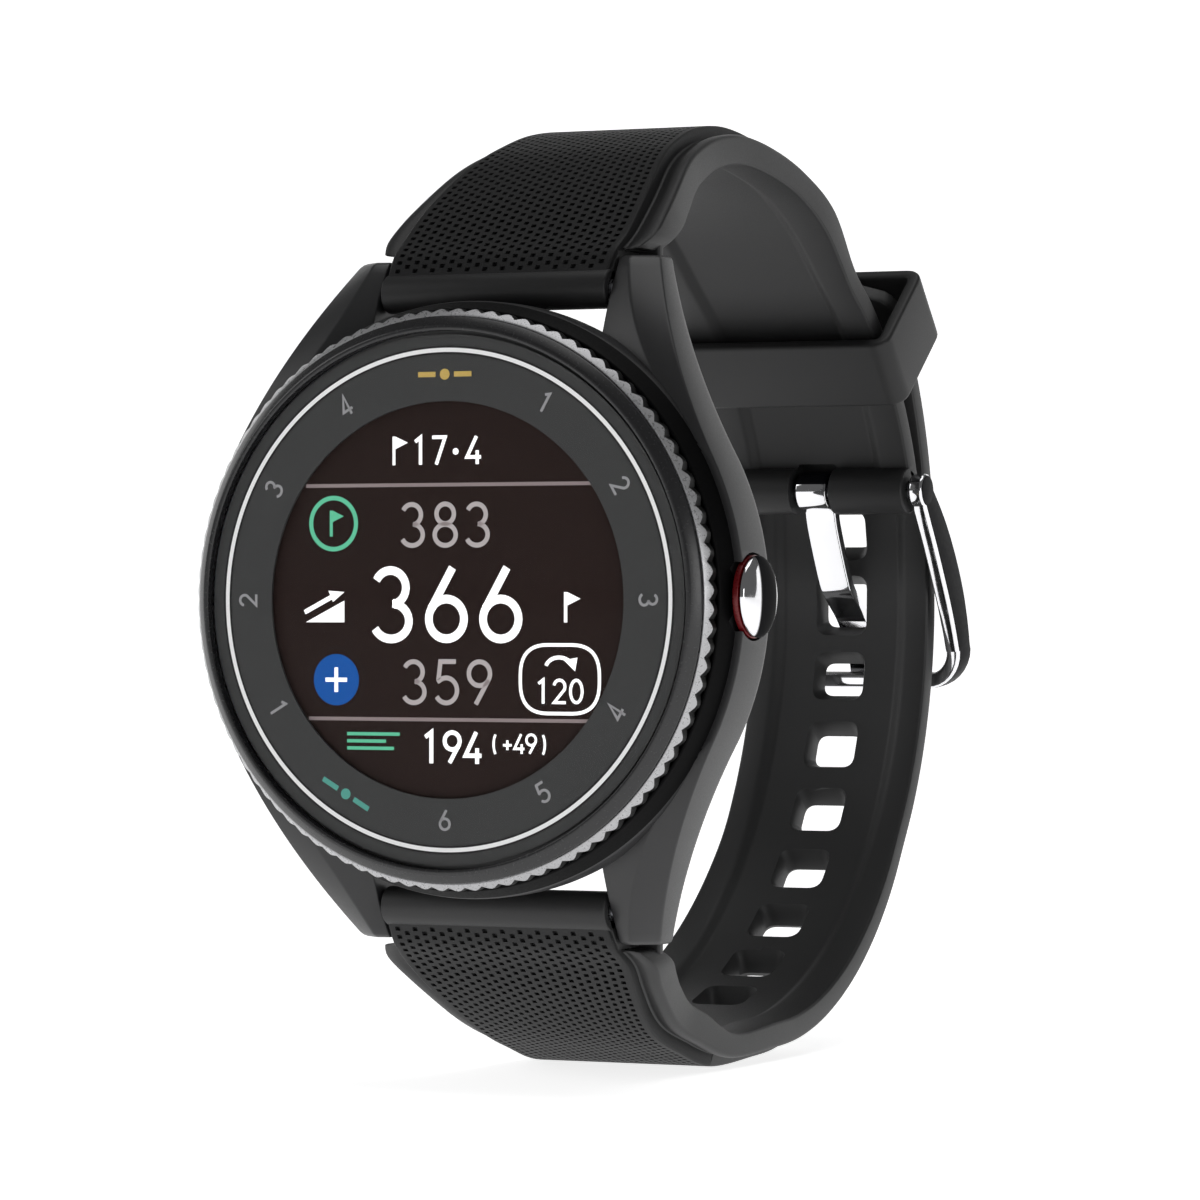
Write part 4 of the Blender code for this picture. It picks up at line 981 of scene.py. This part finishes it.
def upper_strap():
    arc_part = arc_ribs((UPPER_INNER_RADIUS,) * 2, (UPPER_OUTER_RADIUS,) * 2, 57.0, 16.0,
                        (UPPER_END_HALF,) * 2, 6)
    ribs = ROOT_RIBS + UPPER_RIBS + arc_part
    bm = strap_body(bmesh.new(), Path(smooth_curve(ribs, 10)), UPPER_PANEL_END)
    strap = loose("upper_strap_rubber", bm)
    neck = loft(bmesh.new(), [strap_section(rib, True) for rib in smooth_curve(NECK_RIBS, 4)])
    roll = rod(bmesh.new(), NECK_ROLL_RADIUS, NECK_HALF, (LUG_BAR_Y, LUG_BAR_Z))
    end_roll = rod(bmesh.new(), END_ROLL_RADIUS, UPPER_END_HALF, BUCKLE_BAR)
    cut(strap, [loose("neck", neck), loose("roll", roll), loose("end", end_roll), root_lips(1.0)], "UNION")
    turn = Matrix.Rotation(math.radians(BUCKLE_BAR_DEG), 3, "X")
    centre = Vector((0.0, *BUCKLE_BAR))
    slots = []      # one right through, below the bar, and a pocket round the tang's eye
    for top, depth in ((0.4, 6.0), (2.3, 1.75)):
        sections = []
        for y in (-5.0, depth):
            corners = [Vector((x, y, z)) for x, z in oblong(-1.9, 1.9, -6.0, top)]
            outline = filleted(corners, [0.1, 0.1, 0.5, 0.5], 4)
            sections.append([turn @ point + centre for point in outline])
        slots.append(loose("tool", loft(bmesh.new(), sections)))
    bores = bmesh.new()
    for place in ((LUG_BAR_Y, LUG_BAR_Z), BUCKLE_BAR):
        rod(bores, BORE_RADIUS, BORE_HALF, place, 32, 0.0)
    cut(strap, slots + [loose("tool", bores)])
    settle(strap, "rubber", "strap_upper", ["upper_strap"])
    sheet = dimple_sheet("upper_strap_panel", NECK_RIBS + ROOT_RIBS[1:] + UPPER_RIBS, SHEET_START,
                         UPPER_PANEL_END + NECK_LENGTH)
    settle(sheet, "panel", "strap_upper")


def lower_strap():
    back = arc_ribs((LOWER_INNER_RADIUS,) * 2, (LOWER_OUTER_RADIUS + 0.3, LOWER_OUTER_RADIUS),
                    -90.0, -36.0, (9.75, TAIL_HALF), 8)
    flat = arc_ribs((LOWER_INNER_RADIUS,) * 2, (LOWER_OUTER_RADIUS,) * 2, -36.0, 4.0, (TAIL_HALF,) * 2, 6)
    tail = arc_ribs((LOWER_INNER_RADIUS, 36.9), (LOWER_OUTER_RADIUS, 39.2), 4.0, 41.0, (TAIL_HALF,) * 2, 5)
    tip = arc_ribs((36.9, 37.1), (39.2, 39.2), 41.0, 45.0, (TAIL_HALF, 5.6), 4)
    for step in range(1, 5):
        bulge = math.sqrt(1.0 - (step / 4.0) ** 2)
        half = between(5.6, TAIL_HALF, bulge)
        tip[step] = (*tip[step][:4], half, half - 2.4)
    ribs = flipped(ROOT_RIBS) + LOWER_RIBS + back + flat[1:] + tail[1:] + tip[1:]
    bm = strap_body(bmesh.new(), Path(smooth_curve(ribs, 8)), LOWER_PANEL_END)
    strap = loose("lower_strap_rubber", bm)
    neck = loft(bmesh.new(), [strap_section(rib, True) for rib in smooth_curve(flipped(NECK_RIBS), 4)])
    roll = rod(bmesh.new(), NECK_ROLL_RADIUS, NECK_HALF, (LUG_BAR_Y, -LUG_BAR_Z))
    cut(strap, [loose("neck", neck), loose("roll", roll), root_lips(-1.0)], "UNION")
    holes = bmesh.new()
    for index in range(HOLES):
        degrees = TANG_HOLE_DEG + (index - TANG_HOLE) * HOLE_PITCH_DEG
        rise = max(0.0, (degrees - TAIL_START_DEG) / (TAIL_END_DEG - TAIL_START_DEG)) * TAIL_RISE
        hole_cutter(holes, degrees, LOWER_INNER_RADIUS + CHANNEL_DEPTH + rise, LOWER_OUTER_RADIUS + rise,
                    TANG_HOLE_EXTRA if index == TANG_HOLE else 0.0)
    bore = rod(bmesh.new(), BORE_RADIUS, BORE_HALF, (LUG_BAR_Y, -LUG_BAR_Z), 32, 0.0)
    cut(strap, [loose("tool", holes), loose("tool", bore)])
    # the lower strap takes the lighter painted-light copies of the rubber and panel looks
    settle(strap, "tail_rubber_painted_light", None, ["lower_strap"])
    sheet = dimple_sheet("lower_strap_panel", flipped(NECK_RIBS + ROOT_RIBS[1:]) + LOWER_RIBS + back[:4],
                         SHEET_START, LOWER_PANEL_END + NECK_LENGTH)
    settle(sheet, "tail_panel_painted_light", None)
    for piece in (strap, sheet):
        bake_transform(piece)


# ---- keeper and buckle ----
def keeper():
    """Rubber loop: a rounded band swept round a rounded rectangle."""
    low, high, half_x, wall, half_length = 29.8, 40.7, 10.4, 1.1, 3.3
    middle = (low + high) / 2.0
    path = filleted([Vector((sx * (half_x - wall / 2), sy * ((high - low) / 2.0 - wall / 2)))
                     for sx, sy in ((1, -1), (1, 1), (-1, 1), (-1, -1))], [1.1] * 4, 8)
    turn = Matrix.Rotation(math.radians(40.0), 3, "X")
    centre = Vector((0.0, LOOP_CENTRE_Y, 0.0))
    sections = []
    count = len(path)
    for index, point in enumerate(path):
        along = (path[(index + 1) % count] - path[index - 1]).normalized()
        out = Vector((along.y, -along.x))
        corners = [Vector((out.x * r, out.y * r, h))
                   for r, h in oblong(-wall / 2, wall / 2, -half_length, half_length)]
        band = filleted(corners, [0.35] * 4, 4)
        sections.append([turn @ Vector((point.x + p.x, middle + point.y + p.y, p.z)) + centre for p in band])
    add_piece("keeper_loop", loft(bmesh.new(), sections, closed=True), "rubber", "keeper",
              ["strap_keeper"], 50.0)


ARM_POINTS = [(59.4, 5.2), (62.5, 0.2), (64.2, -4.2), (64.6, -7.1)]
TANG_POINTS = [(57.4, 6.4), (59.75, 1.9), (60.9, 0.55), (63.1, -1.1), (65.2, -3.3), (66.5, -5.6),
               (66.7, -7.8)]


def bar_sections(path, half_depths, low_x, high_x, corner):
    """Rounded flat bar along a path of (y, z) points."""
    sections = []
    for index, (y, z) in enumerate(path):
        before = Vector(path[max(index - 1, 0)])
        after = Vector(path[min(index + 1, len(path) - 1)])
        along = (after - before).normalized()
        side = Vector((-along.y, along.x)) * half_depths[index]
        corners = [Vector((x, y + sign * side.x, z + sign * side.y))
                   for x, sign in oblong(low_x, high_x, 1.0, -1.0)]
        sections.append(filleted(corners, [corner] * 4, 4))
    return sections


def buckle_sections():
    """Sections of the buckle's bar, down the right arm, round the corners and up the left arm."""
    arm = [Vector((0.0, y, z)) for y, z in smooth_curve([BUCKLE_BAR] + ARM_POINTS, 10)]
    across = Vector((1.0, 0.0, 0.0))
    arm_x, corner, wide = 9.82, 2.7, 1.35
    down = (arm[-1] - arm[-6]).normalized()
    straight = [p for p in arm if (arm[-1] - p).length > corner]
    start = arm[-1] - down * corner
    stops = [(p + across * arm_x, (arm[i + 1] - arm[i]).normalized()) for i, p in enumerate(straight)]
    for step in range(9):
        angle = math.radians(90.0 * step / 8)
        place = start + down * corner * math.sin(angle) + across * (arm_x - corner + corner * math.cos(angle))
        stops.append((place, down * math.cos(angle) - across * math.sin(angle)))
    stops += [(Vector((-p.x, p.y, p.z)), Vector((t.x, -t.y, -t.z))) for p, t in reversed(stops)]
    sections = []
    for place, along in stops:
        normal = across.cross(down if abs(along.x) > 0.01 else along * (1.0 if along.z < 0.0 else -1.0))
        side = along.cross(normal).normalized() * wide / 2.0
        run = min(1.0, (arm[0] - Vector((0.0, place.y, place.z))).length / (arm[0] - arm[-1]).length)
        lift = normal.normalized() * (1.05 + 0.75 * math.sin(math.pi * run) ** 0.7)
        sections.append(filleted([place + side + lift, place + side - lift, place - side - lift,
                                  place - side + lift], [0.4] * 4, 4))
    return sections


def buckle():
    frame_mesh = loft(bmesh.new(), buckle_sections())
    for low_x, high_x in ((9.15, 10.5), (-10.5, -9.15)):
        knuckle = flat_outline(oblong(0.0, 1.45, low_x, high_x), [0.0, 0.3, 0.3, 0.0])
        spin(frame_mesh, knuckle, 64, (0.0, *BUCKLE_BAR), "X")
    frame_piece = add_piece("buckle_chrome", frame_mesh, "chrome", "buckle", ["buckle_frame"], 40.0,
                            ["painted_dark_reflection"])
    # painted dark reflection on the frame's side faces and the outer faces of its lower corners
    second_look(frame_piece, lambda normal, at: abs(normal.x) > 0.93
                or (at.z < BUCKLE_BAR[1] - 2.0 and math.hypot(normal.x, normal.z) > 0.95))

    tang_mesh = bmesh.new()
    eye = flat_outline(oblong(0.9, 1.6, -1.45, 1.45), [0.03, 0.15, 0.15, 0.03])
    spin(tang_mesh, eye, 64, (0.0, *BUCKLE_BAR), "X")
    start = (BUCKLE_BAR[0] + 0.95, BUCKLE_BAR[1] - 0.95)
    blade = smooth_curve([start] + TANG_POINTS, 6)
    depths = [0.5] * len(blade)
    depths[-1] = 0.25
    loft(tang_mesh, bar_sections(blade, depths, -1.43, 1.43, 0.16))
    tang_piece = add_piece("tang_chrome", tang_mesh, "chrome", "tang", ["buckle_tang"], 40.0,
                           ["painted_dark_reflection"])
    # painted dark reflection on the tang's top, above the bar
    second_look(tang_piece, lambda normal, at: at.z > BUCKLE_BAR[1] + 0.55)


# ---- floor, light and camera ----
def pale(name, colour, glow):
    made = surface(name, colour, 0.9, grain=40.0, mottle=0.004, spread=0.02, relief=0.0)
    set_inputs(principled(made), Specular_IOR_Level=0.0, Emission_Color=(1.0, 1.0, 1.0, 1.0),
               Emission_Strength=glow)
    return made


def studio(floor_z):
    """Pale floor that sweeps up into a backdrop far behind the watch."""
    sweep = []
    for step in range(13):
        angle = math.radians(90.0 * step / 12.0)
        sweep.append((1.2 + 0.5 * math.sin(angle), floor_z + 0.5 - 0.5 * math.cos(angle)))
    line = [(-3.0, floor_z)] + sweep + [(1.7, 1.1)]
    azimuth = math.radians(26.3)
    away = Vector((-math.sin(azimuth), math.cos(azimuth), 0.0))
    across = Vector((math.cos(azimuth), math.sin(azimuth), 0.0))
    mesh = bpy.data.meshes.new("floor")
    points = [away * d + across * side * 4.0 + Vector((0.0, 0.0, z)) for side in (-1, 1) for d, z in line]
    count = len(line)
    mesh.from_pydata(points, [], [(i, i + 1, count + i + 1, count + i) for i in range(count - 1)])
    mesh.shade_smooth()
    mesh.materials.append(pale("pale_floor", (0.88, 0.88, 0.88), 0.80))
    add_object("floor", mesh)


def softbox(name, place, target, size, power):
    light = bpy.data.lights.new(name, "AREA")
    light.shape = "RECTANGLE"
    light.size, light.size_y = size
    light.energy = power
    lamp = add_object(name, light)
    lamp.location = place
    lamp.rotation_euler = (Vector(target) - Vector(place)).to_track_quat("-Z", "Y").to_euler()


def lights():
    world = bpy.data.worlds.new("studio")
    world.use_nodes = True
    set_inputs(world.node_tree.nodes["Background"], Color=(1.0, 1.0, 1.0, 1.0), Strength=0.10)
    bpy.context.scene.world = world
    bpy.context.scene.view_settings.view_transform = "Standard"
    softbox("top_light", (0.05, 0.10, 0.90), (0.0, 0.02, 0.0), (0.7, 0.7), 2.4)
    softbox("front_left_light", (-0.80, -0.45, 0.45), (0.0, 0.0, 0.0), (0.5, 0.5), 1.5)
    softbox("right_light", (0.80, -0.45, 0.0), (0.0, 0.02, 0.0), (0.25, 0.5), 1.3)


def camera():
    data = bpy.data.cameras.new("camera")
    data.lens = 168.3
    data.sensor_width = 36.0
    data.clip_start = 0.01
    data.clip_end = 20.0
    thing = add_object("camera", data)
    thing.location = (0.2005, -0.3927, 0.0)
    thing.rotation_euler = Vector((-0.4431, 0.8965, 0.0)).to_track_quat("-Z", "Y").to_euler()
    bpy.context.scene.camera = thing


# ---- scene ----
def dress_frame():
    """Give every CAD node that stays in view its procedural material."""
    for part in frame["record"]["subparts"]:
        thing = nodes[part["node"]]
        thing.data.materials.clear()
        thing.data.materials.append(LOOKS[part["material_slot"]])


dress_frame()
case_body()
case_back()
bezel_and_glass()
dial_marks()
display_marks()
side_button()
upper_strap()
lower_strap()
keeper()
buckle()
studio(cad_box[0].z - 0.0001)
lights()
camera()
